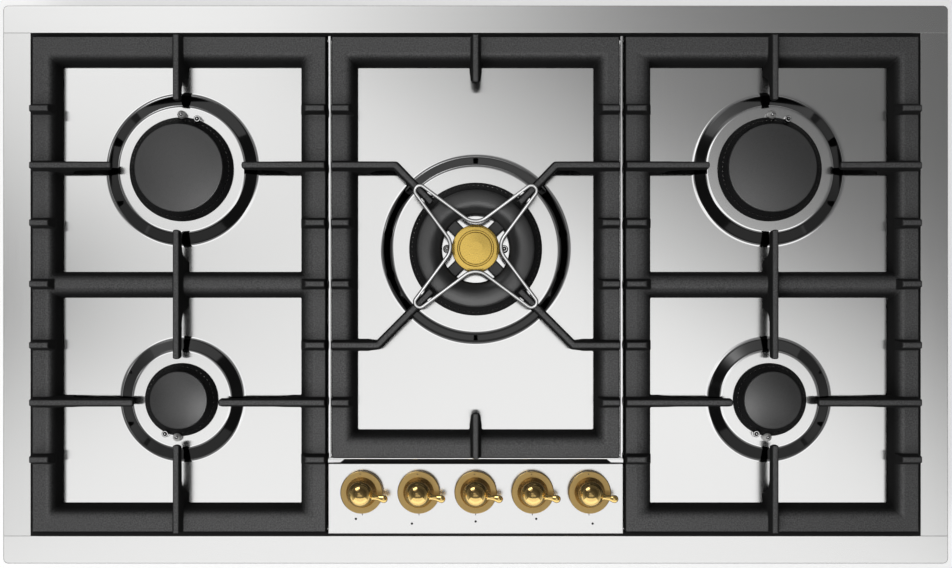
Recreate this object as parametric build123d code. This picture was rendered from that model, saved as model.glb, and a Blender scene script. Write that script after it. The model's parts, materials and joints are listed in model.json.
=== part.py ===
from build123d import *
import os
from math import asin, atan2, cos, degrees, hypot, pi, radians, sin, sqrt, tan

# Five-burner gas cooktop, 36 inch class, top-mounted in a worktop cut-out.
# Millimetres. Origin: centre of the plan, on the flat underside of the burner box.
# +X right, +Y to the rear (away from the knobs), +Z up.

# ---------------------------------------------------------------- overall
WIDTH = 914.0            # over the frame rails, left to right
DEPTH = 540.0            # over the frame rails, front to rear
RAIL_W = 26.8            # plan width of each frame rail
CORNER_R = 5.0           # plan radius of the frame's corners
Z_BOX = 0.0              # flat underside of the burner box
Z_WORKTOP = 58.0         # plane of the worktop that the seal rests on
Z_PAN = 56.0             # upper face of the hob pan
Z_PLATEAU = 62.0         # raised seat around each burner
Z_RAIL = 70.0            # top of the frame rails and control panel
Z_BAR = 82.5             # top of the cast grate frames
Z_FINGER = 95.0          # top of the grate fingers, the pan support plane
Z_BAR_LOW = 58.0         # underside of the cast grate frames
T_RAIL = 1.5
T_PAN = 1.2
T_BOX = 1.0

# ---------------------------------------------------------------- burners
LARGE = dict(x=285.5, y=112.0, flank=73.5, seat=60.0, hole=40.0, crown=50.4, cap=42.5,
             cavity=36.5, flange=58.0, pot=39.6, ports=36)
SMALL = dict(x=285.5, y=-111.5, flank=60.5, seat=46.8, hole=26.0, crown=35.4, cap=27.7,
             cavity=22.0, flange=44.6, pot=25.6, ports=24)
CENTRE_X, CENTRE_Y = 0.0, 34.5
CENTRE = dict(flank=90.9, seat=80.0, hole=52.0, crown=64.5, ring_out=56.5, ring_in=33.5,
              inner_cap=22.0, flange=77.0, pot=51.6)
Z_CROWN = 63.0           # underside of every burner crown
Z_CROWN_TOP = 76.6       # face that the caps lie on
CAP_EDGE = 2.4
CAP_RISE = 3.8
# sparking electrode and flame sensor of each burner, from the burner's centre
REAR_SPARK, REAR_SENSOR = (1.0, 52.3), (16.5, 48.0)
FRONT_SPARK, FRONT_SENSOR = (-3.3, -36.2), (-14.4, -32.8)
MID_SPARK, MID_SENSOR = (-27.6, 0.0), (27.6, 0.0)
SPARK_R, SENSOR_R = 4.0, 3.25

# ---------------------------------------------------------------- grates
SIDE_X0, SIDE_X1 = 143.9, 425.2   # outer walls of a side grate
SIDE_Y = 237.7
MID_X = 138.0
MID_Y0, MID_Y1 = -166.6, 237.6
BAR_W = 25.9             # plan width of a frame bar at its foot
ROWS = (0.0, 58.4, 113.2, 167.5)
FINGER_TOP, FINGER_MID, FINGER_FOOT = 2.75, 4.65, 6.0    # half widths
FINGER_LOW = 84.5        # underside of a finger near its tip
ROOT = 9.4               # how far a finger's deep root runs past the bar
RAMP = 9.8               # run of the ramp from the root up to the slender part
STUB = 19.5
STAR_Y = 35.5
WIRE_R = 1.8

# ---------------------------------------------------------------- controls
KNOB_X = (-109.6, -54.8, 0.0, 54.8, 109.6)
KNOB_Y = -200.0
KNOB_SKIRT_R = 20.4
KNOB_BALL_R = 11.3
KNOB_LEVER = 26.5
LEVER_TURN = -11.5       # the levers point slightly to the front of +X at rest
KNOB_PUSH = 4.0
SPINDLE_R = 4.0
PLUG_R = 7.0
RUN_CLEAR = 0.05
PANEL_X, PANEL_Y0, PANEL_Y1 = 142.7, -241.1, -173.1
Z_SKIRT = 75.5
Z_SKIRT_TOP = 81.5

# ---------------------------------------------------------------- gas side
BOX_X, BOX_Y = 425.0, 240.0
PIPE_Z = 34.0
PIPE_R = 4.0
MANIFOLD_Y, MANIFOLD_Z, MANIFOLD_R = -222.0, 36.0, 9.0
INLET_X, INLET_Y = 392.0, 196.0
INLET_R = 10.48          # male half inch parallel gas thread, over its crests
GLAND_X, GLAND_Y = -372.0, 150.0
GLAND_BORE = 4.5
CLAMP_X, CLAMP_Y, CLAMP_HOLE_R = 390.0, 228.0, 2.1

os.makedirs("parts", exist_ok=True)
made = {}


def save(name, *solids):
    flat = []
    for s in solids:
        flat.extend(s.solids())
    shape = flat[0] if len(flat) == 1 else Compound(children=flat)
    export_step(shape, "parts/" + name + ".step")
    made[name] = len(flat)
    print(name, len(flat), round(sum(f.volume for f in flat)))


def block(x0, x1, y0, y1, z0, z1):
    return Pos((x0 + x1) / 2, (y0 + y1) / 2, (z0 + z1) / 2) * Box(x1 - x0, y1 - y0, z1 - z0)


def rod(x, y, z0, z1, r):
    return Pos(x, y, (z0 + z1) / 2) * Cylinder(r, z1 - z0)


def turned(points, x=0.0, y=0.0):
    """A solid of revolution about a vertical axis at x, y from (radius, z) points."""
    face = make_face(Polyline(*[(r, 0, z) for r, z in points], close=True))
    return Pos(x, y, 0) * revolve(face, Axis.Z, 360)


# ---------------------------------------------------------------- frame rails
def long_rail(side):
    """Front (side -1) or rear (side +1) rail: a folded channel with closed ends."""
    outer = side * DEPTH / 2
    z_low = Z_WORKTOP + 1.5

    def y_at(v):
        return outer - side * v

    def bar(v0, v1, x, z0, z1):
        a, b = sorted((y_at(v0), y_at(v1)))
        return block(-x, x, a, b, z0, z1)

    body = bar(0, RAIL_W, WIDTH / 2, z_low, Z_RAIL)
    corners = [e for e in body.edges().filter_by(Axis.Z) if abs(e.center().Y - outer) < 0.01]
    body = fillet(corners, CORNER_R)
    top = [e for e in body.edges().filter_by(GeomType.LINE) if abs(e.center().Z - Z_RAIL) < 0.01
           and abs(e.center().Y - outer) < 0.01]
    body = fillet(top, 0.8)
    body -= bar(T_RAIL, RAIL_W - T_RAIL, WIDTH / 2 - T_RAIL, z_low + T_RAIL, Z_RAIL - T_RAIL)
    body -= bar(11.0, RAIL_W - T_RAIL, WIDTH / 2 - 11.0, z_low - 1, z_low + T_RAIL + 1)
    body += bar(RAIL_W - T_RAIL, RAIL_W, WIDTH / 2 - RAIL_W, Z_PAN, z_low)
    return body


def side_rail(side):
    """Left (side -1) or right (side +1) rail, butted between the long rails."""
    outer = side * WIDTH / 2
    z_low = Z_WORKTOP + 1.5
    y = DEPTH / 2 - RAIL_W

    def bar(v0, v1, y_half, z0, z1):
        a, b = sorted((outer - side * v0, outer - side * v1))
        return block(a, b, -y_half, y_half, z0, z1)

    body = bar(0, RAIL_W, y, z_low, Z_RAIL)
    top = [e for e in body.edges().filter_by(Axis.Y) if abs(e.center().Z - Z_RAIL) < 0.01
           and abs(e.center().X - outer) < 0.01]
    body = fillet(top, 0.8)
    body -= bar(T_RAIL, RAIL_W - T_RAIL, y + 1, z_low + T_RAIL, Z_RAIL - T_RAIL)
    body -= bar(11.0, RAIL_W - T_RAIL, y + 1, z_low - 1, z_low + T_RAIL + 1)
    body += bar(RAIL_W - T_RAIL, RAIL_W, y, Z_PAN, z_low)
    return body


save("front_rail", long_rail(-1))
save("rear_rail", long_rail(1))
save("left_rail", side_rail(-1))
save("right_rail", side_rail(1))

seal = []
for s in (-1, 1):
    a, b = sorted((s * (DEPTH / 2 - 3), s * (DEPTH / 2 - 10)))
    seal.append(block(-WIDTH / 2 + 4, WIDTH / 2 - 4, a, b, Z_WORKTOP, Z_WORKTOP + 1.5))
    a, b = sorted((s * (WIDTH / 2 - 4), s * (WIDTH / 2 - 11)))
    seal.append(block(a, b, -DEPTH / 2 + 10, DEPTH / 2 - 10, Z_WORKTOP, Z_WORKTOP + 1.5))
# joint strips between the pan and the rails, and on both sides of the control panel
Z_STRIP = 69.0
y_in, x_in = DEPTH / 2 - RAIL_W, WIDTH / 2 - RAIL_W
for s in (-1, 1):
    a, b = sorted((s * x_in, s * (x_in - 3.0)))
    seal.append(block(a, b, -y_in, y_in, Z_PAN, Z_STRIP))
seal.append(block(-x_in + 3.0, x_in - 3.0, y_in - 2.8, y_in, Z_PAN, Z_STRIP))
seal.append(block(-x_in + 3.0, -143.0, -y_in, -y_in + 3.4, Z_PAN, Z_STRIP))
seal.append(block(-143.0, 143.0, -y_in, -y_in + 2.0, Z_PAN, Z_STRIP))
seal.append(block(143.0, x_in - 3.0, -y_in, -y_in + 3.4, Z_PAN, Z_STRIP))
seal.append(block(-142.6, 142.6, PANEL_Y1 + 0.1, -168.9, Z_PAN, Z_STRIP - 2.0))
save("rubber_seals", *seal)

# ---------------------------------------------------------------- hob pan
burners = []   # name, x, y, data, spark, sensor
for name, s, data, spark, sensor in (
        ("rear_left", -1, LARGE, REAR_SPARK, REAR_SENSOR),
        ("rear_right", 1, LARGE, REAR_SPARK, REAR_SENSOR),
        ("front_left", -1, SMALL, FRONT_SPARK, FRONT_SENSOR),
        ("front_right", 1, SMALL, FRONT_SPARK, FRONT_SENSOR)):
    burners.append((name, s * data["x"], data["y"], data, spark, sensor))
burners.append(("centre", CENTRE_X, CENTRE_Y, CENTRE, MID_SPARK, MID_SENSOR))


def screw_places(x, y, data):
    r = (data["hole"] + data["crown"]) / 2
    return [(x + s * r, y) for s in (-1, 1)]


# the flat sheet and its five raised seats are solids of their own that meet face to face
pan = block(-432, 432, -244.8, 244.8, Z_PAN - T_PAN, Z_PAN)
seats = []
for name, x, y, data, spark, sensor in burners:
    f, s_r, h = data["flank"], data["seat"], data["hole"]
    pan -= rod(x, y, Z_PAN - 5, Z_PAN + 5, f)
    seat = turned([(f - 1.2, Z_PAN - T_PAN), (f, Z_PAN - T_PAN), (f, Z_PAN), (s_r + 0.4, Z_PLATEAU), (h, Z_PLATEAU),
                   (h, Z_PLATEAU - T_PAN), (s_r, Z_PLATEAU - T_PAN)], x, y)
    holes = [rod(x + spark[0], y + spark[1], Z_PLATEAU - 4, Z_PLATEAU + 4, SPARK_R + 0.4),
             rod(x + sensor[0], y + sensor[1], Z_PLATEAU - 4, Z_PLATEAU + 4, SENSOR_R + 0.4)]
    if name != "centre":
        seat -= holes
    seat -= [rod(px, py, Z_PLATEAU - 4, Z_PLATEAU + 4, 2.1) for px, py in screw_places(x, y, data)]
    seats.append(seat)
pan -= [rod(x, KNOB_Y, Z_PAN - 5, Z_PAN + 5, 7.5) for x in KNOB_X]
save("hob_pan", pan, *seats)

save("pan_dividers", block(-142.6, -140.0, -167.6, 240.2, Z_PAN, Z_RAIL), block(140.0, 142.6, -167.6, 240.2, Z_PAN, Z_RAIL))
save("pan_front_lip", block(-142.6, 142.6, -168.9, -167.6, Z_PAN, Z_RAIL))

# ---------------------------------------------------------------- control panel
panel = block(-PANEL_X, PANEL_X, PANEL_Y0, PANEL_Y1, Z_PAN, Z_RAIL)
panel = fillet([e for e in panel.edges() if abs(e.center().Z - Z_RAIL) < 0.01], 0.7)
panel -= block(-PANEL_X + 1.5, PANEL_X - 1.5, PANEL_Y0 + 1.5, PANEL_Y1 - 1.5, Z_PAN - 1, Z_RAIL - 1.5)
panel -= [rod(x, KNOB_Y, Z_RAIL - 5, Z_RAIL + 5, 7.5) for x in KNOB_X]
save("control_panel", panel)
save("knob_bezels", *[turned([(7.5, Z_RAIL), (15.2, Z_RAIL), (15.2, Z_RAIL + 0.7), (14.6, Z_RAIL + 1.2), (7.5, Z_RAIL + 1.2)],
                             x, KNOB_Y) for x in KNOB_X])

# ---------------------------------------------------------------- burner box
Z_TOP = Z_PAN - T_PAN
box = block(-BOX_X, BOX_X, -BOX_Y, BOX_Y, Z_BOX, Z_TOP)
box -= block(-BOX_X + T_BOX, BOX_X - T_BOX, -BOX_Y + T_BOX, BOX_Y - T_BOX, Z_BOX + T_BOX, Z_TOP - T_BOX)
box -= block(-BOX_X + 10, BOX_X - 10, -BOX_Y + 8, BOX_Y - 8, Z_TOP - 5, Z_TOP + 5)
box -= rod(INLET_X, INLET_Y, -5, 5, 22.0)
box -= rod(GLAND_X, GLAND_Y, -5, 5, 10.0)
box -= [rod(sx * CLAMP_X, sy * CLAMP_Y, -5, 5, CLAMP_HOLE_R) for sx in (-1, 1) for sy in (-1, 1)]
slots = []
for cx in (-200.0, 200.0):
    for k in range(6):
        slots.append(block(cx - 30, cx + 30, -4 + 14 * k, 1 + 14 * k, -5, 5))
for k in range(10):
    slots.append(block(-150 + 30 * k, -130 + 30 * k, BOX_Y - 5, BOX_Y + 5, 12, 18))
box -= slots
save("burner_box", box)

braces = []
for s in (-1, 1):
    x = s * 165.0
    ch = block(x - 10, x + 10, -206, 226, 40.0, Z_TOP)
    ch -= block(x - 8.8, x + 8.8, -207, 227, 41.2, Z_TOP + 1)
    braces.append(ch)
save("pan_braces", *braces)

# ---------------------------------------------------------------- burner cups, injectors
cups, jets, screws, ceramics, pins, sensors = [], [], [], [], [], []
centre_cup = None
for name, x, y, data, spark, sensor in burners:
    pot, fl = data["pot"], data["flange"]
    z_fl = Z_PLATEAU - T_PAN
    wall = 4.0
    outline = [(10.0, 22.0), (16.0, 22.0), (16.0, 40.0), (pot - 4, 44.0), (pot, 48.0), (pot, z_fl - 3.0),
               (fl, z_fl - 3.0), (fl, z_fl), (pot, z_fl), (pot, Z_CROWN), (pot - wall, Z_CROWN), (pot - wall, 50.0),
               (10.0, 46.0)]
    if name == "centre":
        # a solid deck fills the middle, seen between the bridges of the crown
        outline[-2:] = [(pot - wall, 50.0), (38.0, 50.0), (38.0, 61.5), (14.6, 61.5), (14.6, 46.0), (10.0, 46.0)]
    cup = turned(outline, x, y)
    cup -= rod(x + spark[0], y + spark[1], 36, 62.5, SPARK_R + 0.4)
    cup -= rod(x + sensor[0], y + sensor[1], 36, 62.5, SENSOR_R + 0.4)
    cup -= [rod(px, py, 50, 62, 2.1) for px, py in screw_places(x, y, data)]
    if name == "centre":
        centre_cup = cup
    else:
        cups.append(cup)
    jets.append(turned([(0.6, 24.0), (10.0, 24.0), (10.0, 32.0), (6.0, 32.0), (6.0, 38.0), (4.0, 40.0), (0.6, 40.0)], x, y))
    for px, py in screw_places(x, y, data):
        screws.append(turned([(0, 54.0), (2.0, 54.0), (2.0, Z_PLATEAU), (3.4, Z_PLATEAU), (3.0, Z_PLATEAU + 0.8),
                              (0, Z_PLATEAU + 0.8)], px, py))
    low = z_fl - 3.0
    sx, sy = x + spark[0], y + spark[1]
    top = 72.0
    z_base = 30.0 if name == "centre" else 44.0
    ceramics.append(turned([(1.2, z_base), (SPARK_R, z_base), (SPARK_R, low - 2), (SPARK_R + 1.4, low - 2), (SPARK_R + 1.4, low),
                            (SPARK_R, low), (SPARK_R, top - 2.5), (SPARK_R - 1.6, top), (1.2, top)], sx, sy)
                    if name != "centre" else
                    turned([(1.2, z_base), (SPARK_R, z_base), (SPARK_R, top - 2.5), (SPARK_R - 1.6, top), (1.2, top)], sx, sy))
    pins.append(turned([(0, z_base - 6), (1.1, z_base - 6), (1.1, top + 2.2), (0.5, top + 3.0), (0, top + 3.0)], sx, sy))
    tx, ty = x + sensor[0], y + sensor[1]
    sensors.append(turned([(0, z_base - 4), (2.2, z_base - 4), (2.2, z_base + 2), (SENSOR_R, z_base + 2), (SENSOR_R, 73.0),
                           (SENSOR_R - 1.2, 74.4), (0, 74.4)], tx, ty))
save("side_burner_cups", *cups)
save("centre_burner_cup", centre_cup)
save("injectors", *jets)
save("burner_screws", *screws)
save("electrode_ceramics", *ceramics)
save("electrode_pins", *pins)
save("flame_sensors", *sensors)


# ---------------------------------------------------------------- crowns and caps of the side burners
def crown_and_cap(x, y, data, spark, sensor):
    r, c, cav = data["crown"], data["cap"], data["cavity"]
    pot_in = data["pot"] - 4.0
    shell = turned([(11.0, 58.0), (13.5, 58.0), (13.5, Z_CROWN), (r, Z_CROWN), (r, Z_CROWN + 1.2),
                    (c + 0.6, Z_CROWN_TOP), (cav, Z_CROWN_TOP), (cav, 67.0), (15.0, 67.0), (15.0, 71.0),
                    (11.0, 71.0)], x, y)
    skirt = turned([(pot_in - 2.6, 57.0), (pot_in - 0.5, 57.0), (pot_in - 0.5, Z_CROWN + 0.5), (pot_in - 2.6, Z_CROWN + 0.5)], x, y)
    shell += skirt
    n = data["ports"]
    slots = [Pos(x, y, 73.6) * Rot(0, 0, 180.0 * (k + 0.5) / (n // 2)) * Box(2 * r + 4, 1.7, 6.2) for k in range(n // 2)]
    shell -= slots
    shell -= rod(x + spark[0], y + spark[1], 50, 90, SPARK_R + 1.0)
    shell -= rod(x + sensor[0], y + sensor[1], 50, 90, SENSOR_R + 1.0)
    z0, z1 = Z_CROWN_TOP, Z_CROWN_TOP + CAP_EDGE
    zt = z1 + CAP_RISE
    cap = turned([(0, z0), (cav - 3.0, z0), (cav - 3.0, z0 - 3.5), (cav - 0.6, z0 - 3.5), (cav - 0.6, z0), (c - 0.8, z0),
                  (c, z0 + 0.8), (c, z1 + 1.0), (c - 0.9, z1 + 1.85), (c * 0.8, z1 + 2.5), (c * 0.5, z1 + 3.25),
                  (c * 0.25, zt - 0.12), (0, zt)], x, y)
    return shell, cap


for name, x, y, data, spark, sensor in burners[:4]:
    shell, cap = crown_and_cap(x, y, data, spark, sensor)
    save("crown_" + name, shell)
    save("cap_" + name, cap)

# ---------------------------------------------------------------- centre burner: outer ring, four bridges, inner burner
R = CENTRE["crown"]
ring = turned([(32.6, Z_CROWN), (R, Z_CROWN), (R, Z_CROWN + 1.2), (57.2, Z_CROWN_TOP), (51.0, Z_CROWN_TOP), (51.0, 67.0),
               (39.0, 67.0), (39.0, Z_CROWN_TOP), (32.9, Z_CROWN_TOP)])
inner = turned([(10.0, 57.0), (14.0, 57.0), (14.0, Z_CROWN), (21.0, Z_CROWN), (19.6, Z_CROWN_TOP + 1.4), (16.0, Z_CROWN_TOP + 1.4),
                (16.0, 67.0), (10.0, 67.0)])
crown = ring + inner
for a in (45, 135, 225, 315):
    bridge = Rot(0, 0, a) * block(19.8, 36.0, -6.0, 6.0, Z_CROWN, 73.5)
    crown += bridge
crown += turned([(CENTRE["pot"] - 6.6, 57.0), (CENTRE["pot"] - 4.5, 57.0), (CENTRE["pot"] - 4.5, Z_CROWN + 0.5),
                 (CENTRE["pot"] - 6.6, Z_CROWN + 0.5)])
outer_slots = [Rot(0, 0, 360.0 * (k + 0.5) / 40) * block(49.0, 68.0, -0.85, 0.85, 70.5, Z_CROWN_TOP + 0.1) for k in range(40)]
crown -= outer_slots
inner_slots = [Rot(0, 0, 360.0 * (k + 0.5) / 16) * block(14.0, 24.0, -0.8, 0.8, 73.6, Z_CROWN_TOP + 1.5) for k in range(16)]
crown -= inner_slots
crown = Pos(CENTRE_X, CENTRE_Y, 0) * crown
save("crown_centre", crown)

ro, ri = CENTRE["ring_out"], CENTRE["ring_in"]
# crisp outer edge, highest a little inside it, long slope down to the opening
arch = [(r, Z_CROWN_TOP + h) for r, h in ((ro - 0.3, 0.2), (ro, 0.6), (ro, 2.0), (ro - 0.4, 3.5), (ro - 2.0, 4.9), (ro - 5.5, 5.8),
                                          (ro - 10.0, 6.0), (ri + 8.4, 5.5), (ri + 4.4, 4.2), (ri + 1.4, 2.2), (ri, 0.8))]
profile = [(ri + 0.3, Z_CROWN_TOP), (40.0, Z_CROWN_TOP), (40.0, Z_CROWN_TOP - 3), (42.0, Z_CROWN_TOP - 3), (42.0, Z_CROWN_TOP),
           (48.4, Z_CROWN_TOP), (48.4, Z_CROWN_TOP - 3), (50.4, Z_CROWN_TOP - 3), (50.4, Z_CROWN_TOP), (ro - 0.5, Z_CROWN_TOP)] + arch
save("ring_cap_centre", turned(profile, CENTRE_X, CENTRE_Y))
z0 = Z_CROWN_TOP + 1.4
ic = CENTRE["inner_cap"]
save("inner_cap_centre", turned([(0, z0), (13.0, z0), (13.0, z0 - 4.0), (15.4, z0 - 4.0), (15.4, z0), (ic - 0.6, z0), (ic, z0 + 0.6),
                                 (ic, z0 + 2.2), (ic - 0.7, z0 + 3.2), (ic - 2.2, z0 + 3.8), (ic - 6.2, z0 + 4.1), (ic - 6.8, z0 + 3.6),
                                 (ic - 7.6, z0 + 3.6), (ic - 8.2, z0 + 4.2), (8.0, z0 + 4.5), (0, z0 + 4.7)], CENTRE_X, CENTRE_Y))


# ---------------------------------------------------------------- cast grates
# bar section: (distance in from the outer wall, z)
EDGE = 0.5               # chamfer of the outer upper edge
BAR = [(0.0, Z_BAR_LOW), (0.0, Z_BAR - EDGE), (EDGE, Z_BAR), (15.2, Z_BAR), (17.4, Z_BAR - 0.35), (19.4, Z_BAR - 1.1),
       (21.0, Z_BAR - 2.4), (22.4, Z_BAR - 4.6), (23.5, Z_BAR - 7.8), (BAR_W, Z_BAR_LOW)]


def level(x0, x1, y0, y1, z):
    return Polyline((x0, y0, z), (x1, y0, z), (x1, y1, z), (x0, y1, z), close=True)


def frustum(x0, x1, y0, y1, za, ia, zb, ib):
    """Rectangle inset by ia at za, ruled to the same rectangle inset by ib at zb."""
    return Solid.make_loft([Wire(level(x0 + ia, x1 - ia, y0 + ia, y1 - ia, za).edges()),
                            Wire(level(x0 + ib, x1 - ib, y0 + ib, y1 - ib, zb).edges())], True)


def grate_frame(x0, x1, y0, y1):
    """Cast rectangular frame: bars with an upright outer wall and a rounded inner side, mitred at the corners."""
    body = block(x0, x1, y0, y1, Z_BAR_LOW, Z_BAR - EDGE)
    body += frustum(x0, x1, y0, y1, Z_BAR - EDGE, 0.0, Z_BAR, EDGE)
    cut = None
    inner = BAR[3:]
    for (ua, za), (ub, zb) in zip(inner, inner[1:]):
        piece = frustum(x0, x1, y0, y1, za, ua, zb, ub)
        cut = piece if cut is None else cut + piece
    cut += block(x0 + BAR[3][0], x1 - BAR[3][0], y0 + BAR[3][0], y1 - BAR[3][0], Z_BAR, Z_BAR + 5)
    cut += block(x0 + BAR_W, x1 - BAR_W, y0 + BAR_W, y1 - BAR_W, Z_BAR_LOW - 5, Z_BAR_LOW)
    return body - cut


def cross_bar(x0, x1, y):
    half = [(1.6, 0.0), (4.0, 0.45), (6.2, 1.35), (8.0, 2.7), (9.4, 4.8), (10.5, 8.0)]
    pts = [(-12.7, Z_BAR_LOW)] + [(-a, Z_BAR - d) for a, d in reversed(half)]
    pts += [(a, Z_BAR - d) for a, d in half] + [(12.7, Z_BAR_LOW)]
    face = make_face(Polyline(*[(x0, y + a, z) for a, z in pts], close=True))
    return extrude(face, x1 - x0, (1, 0, 0))


SECTION = [(-FINGER_FOOT, Z_BAR_LOW), (-FINGER_MID, Z_BAR), (-FINGER_TOP - 0.2, Z_FINGER - 0.9), (-FINGER_TOP + 0.6, Z_FINGER),
           (FINGER_TOP - 0.6, Z_FINGER), (FINGER_TOP + 0.2, Z_FINGER - 0.9), (FINGER_MID, Z_BAR), (FINGER_FOOT, Z_BAR_LOW)]


def run_solid(length, side_points):
    """A bar of the tapered finger section along +X from 0 to length, trimmed to its side outline."""
    face = make_face(Polyline(*[(0, a, z) for a, z in SECTION], close=True))
    section = extrude(face, length, (1, 0, 0))
    side = make_face(Polyline(*[(s, -9, z) for s, z in side_points], close=True))
    return section & extrude(side, 18, (0, 1, 0))


def placed(solid, p0, p1):
    return Pos(p0[0], p0[1], 0) * Rot(0, 0, degrees(atan2(p1[1] - p0[1], p1[0] - p0[0]))) * solid


def tip_trim(length):
    """Plan outline with a rounded far end."""
    r = 5.0
    shape = block(-1, length - r, -9, 9, Z_BAR_LOW - 5, Z_FINGER + 5)
    end = Pos(length - r, 0, (Z_BAR_LOW + Z_FINGER) / 2) * Cylinder(r, Z_FINGER - Z_BAR_LOW + 10)
    return shape + end


def long_finger(p0, p1, bar_w=BAR_W, root=ROOT, ramp=RAMP, low=FINGER_LOW):
    """From the frame's outer wall at p0 to a rounded tip at p1."""
    n = hypot(p1[0] - p0[0], p1[1] - p0[1])
    a = bar_w + root
    b = a + ramp
    side = [(0.0, Z_BAR_LOW), (a, Z_BAR_LOW), (a + ramp * 0.42, Z_BAR_LOW + (low - Z_BAR_LOW) * 0.62), (a + ramp * 0.72, low - 3.2),
            (b, low - 0.9), (b + 4.0, low), (n, low + 1.0), (n, Z_FINGER - 1.0), (n - 1.0, Z_FINGER), (0.4, Z_FINGER), (0.0, Z_FINGER - 0.4)]
    body = run_solid(n, side) & tip_trim(n)
    return placed(body, p0, p1)


def short_finger(p0, p1, bar_w=BAR_W):
    n = hypot(p1[0] - p0[0], p1[1] - p0[1])
    a = bar_w + 5.0
    side = [(0.0, Z_BAR_LOW), (a, Z_BAR_LOW), (a + (n - a) * 0.35, Z_BAR_LOW + 12), (a + (n - a) * 0.7, FINGER_LOW - 5.0),
            (n, FINGER_LOW + 0.5), (n, Z_FINGER - 1.0), (n - 1.0, Z_FINGER), (0.4, Z_FINGER), (0.0, Z_FINGER - 0.4)]
    return placed(run_solid(n, side) & tip_trim(n), p0, p1)


def stub(p0, toward):
    """Short rest on top of a bar: square at the outer wall, sloping at the inner side."""
    side = [(0.0, Z_BAR - 10), (23.0, Z_BAR - 10), (24.0, Z_BAR - 3.0), (STUB + 1.0, Z_FINGER - 1.2), (STUB, Z_FINGER), (0.4, Z_FINGER),
            (0.0, Z_FINGER - 0.4)]
    return placed(run_solid(24.0, side), p0, (p0[0] + toward[0], p0[1] + toward[1]))


def double_finger(x, y0, y1):
    """Straight finger across the middle bar, free at both ends."""
    n = y1 - y0
    m = -y0
    h = 12.7
    lo = FINGER_LOW
    rise = lo - Z_BAR_LOW
    side = [(0, lo + 1.0), (m - h - ROOT - RAMP - 4, lo), (m - h - ROOT - RAMP, lo - 0.9), (m - h - ROOT - RAMP * 0.72, lo - 3.2),
            (m - h - ROOT - RAMP * 0.42, Z_BAR_LOW + rise * 0.62), (m - h - ROOT, Z_BAR_LOW), (m + h + ROOT, Z_BAR_LOW),
            (m + h + ROOT + RAMP * 0.42, Z_BAR_LOW + rise * 0.62), (m + h + ROOT + RAMP * 0.72, lo - 3.2), (m + h + ROOT + RAMP, lo - 0.9),
            (min(m + h + ROOT + RAMP + 4, n - 2), lo), (n, lo + 1.0), (n, Z_FINGER - 1.0), (n - 1.0, Z_FINGER), (1.0, Z_FINGER),
            (0, Z_FINGER - 1.0)]
    r = 5.0
    z_mid, z_h = (Z_BAR_LOW + Z_FINGER) / 2, Z_FINGER - Z_BAR_LOW + 10
    trim = block(r, n - r, -9, 9, z_mid - z_h / 2, z_mid + z_h / 2)
    trim += Pos(r, 0, z_mid) * Cylinder(r, z_h)
    trim += Pos(n - r, 0, z_mid) * Cylinder(r, z_h)
    return placed(run_solid(n, side) & trim, (x, y0), (x, y1))


def side_grate():
    """The right-hand grate. The left one is its mirror image."""
    x0, x1 = SIDE_X0, SIDE_X1
    body = grate_frame(x0, x1, -SIDE_Y, SIDE_Y)
    body += cross_bar(x0 + 4, x1 - 4, 0.0)
    xc = LARGE["x"]
    add = [long_finger((x1, 113.2), (347.4, 113.2)), long_finger((x0, 113.2), (223.2, 113.2)),
           long_finger((x1, -113.2), (326.4, -113.2)), long_finger((x0, -113.2), (245.3, -113.2)),
           long_finger((xc, SIDE_Y), (xc, 175.2)), long_finger((xc, -SIDE_Y), (xc, -153.4)),
           double_finger(xc, -71.8, 51.8)]
    for y in (0.0, 58.4, -58.4, 167.5, -167.5):
        add.append(stub((x1, y), (-1, 0)))
        add.append(stub((x0, y), (1, 0)))
    for piece in add:
        body += piece
    return body


right = side_grate()
left = mirror(right, Plane.YZ)
save("right_grate", right)
save("left_grate", left)


def pads(places):
    return [fillet(block(x - 8, x + 8, y - 8, y + 8, Z_PAN, Z_BAR_LOW).edges().filter_by(Axis.Z), 3.0) for x, y in places]


side_places = [(x, y) for x in (SIDE_X0 + 13, SIDE_X1 - 13) for y in (-SIDE_Y + 13, 0.0, SIDE_Y - 13)]
save("right_grate_feet", *pads(side_places))
save("left_grate_feet", *pads([(-x, y) for x, y in side_places]))


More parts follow.
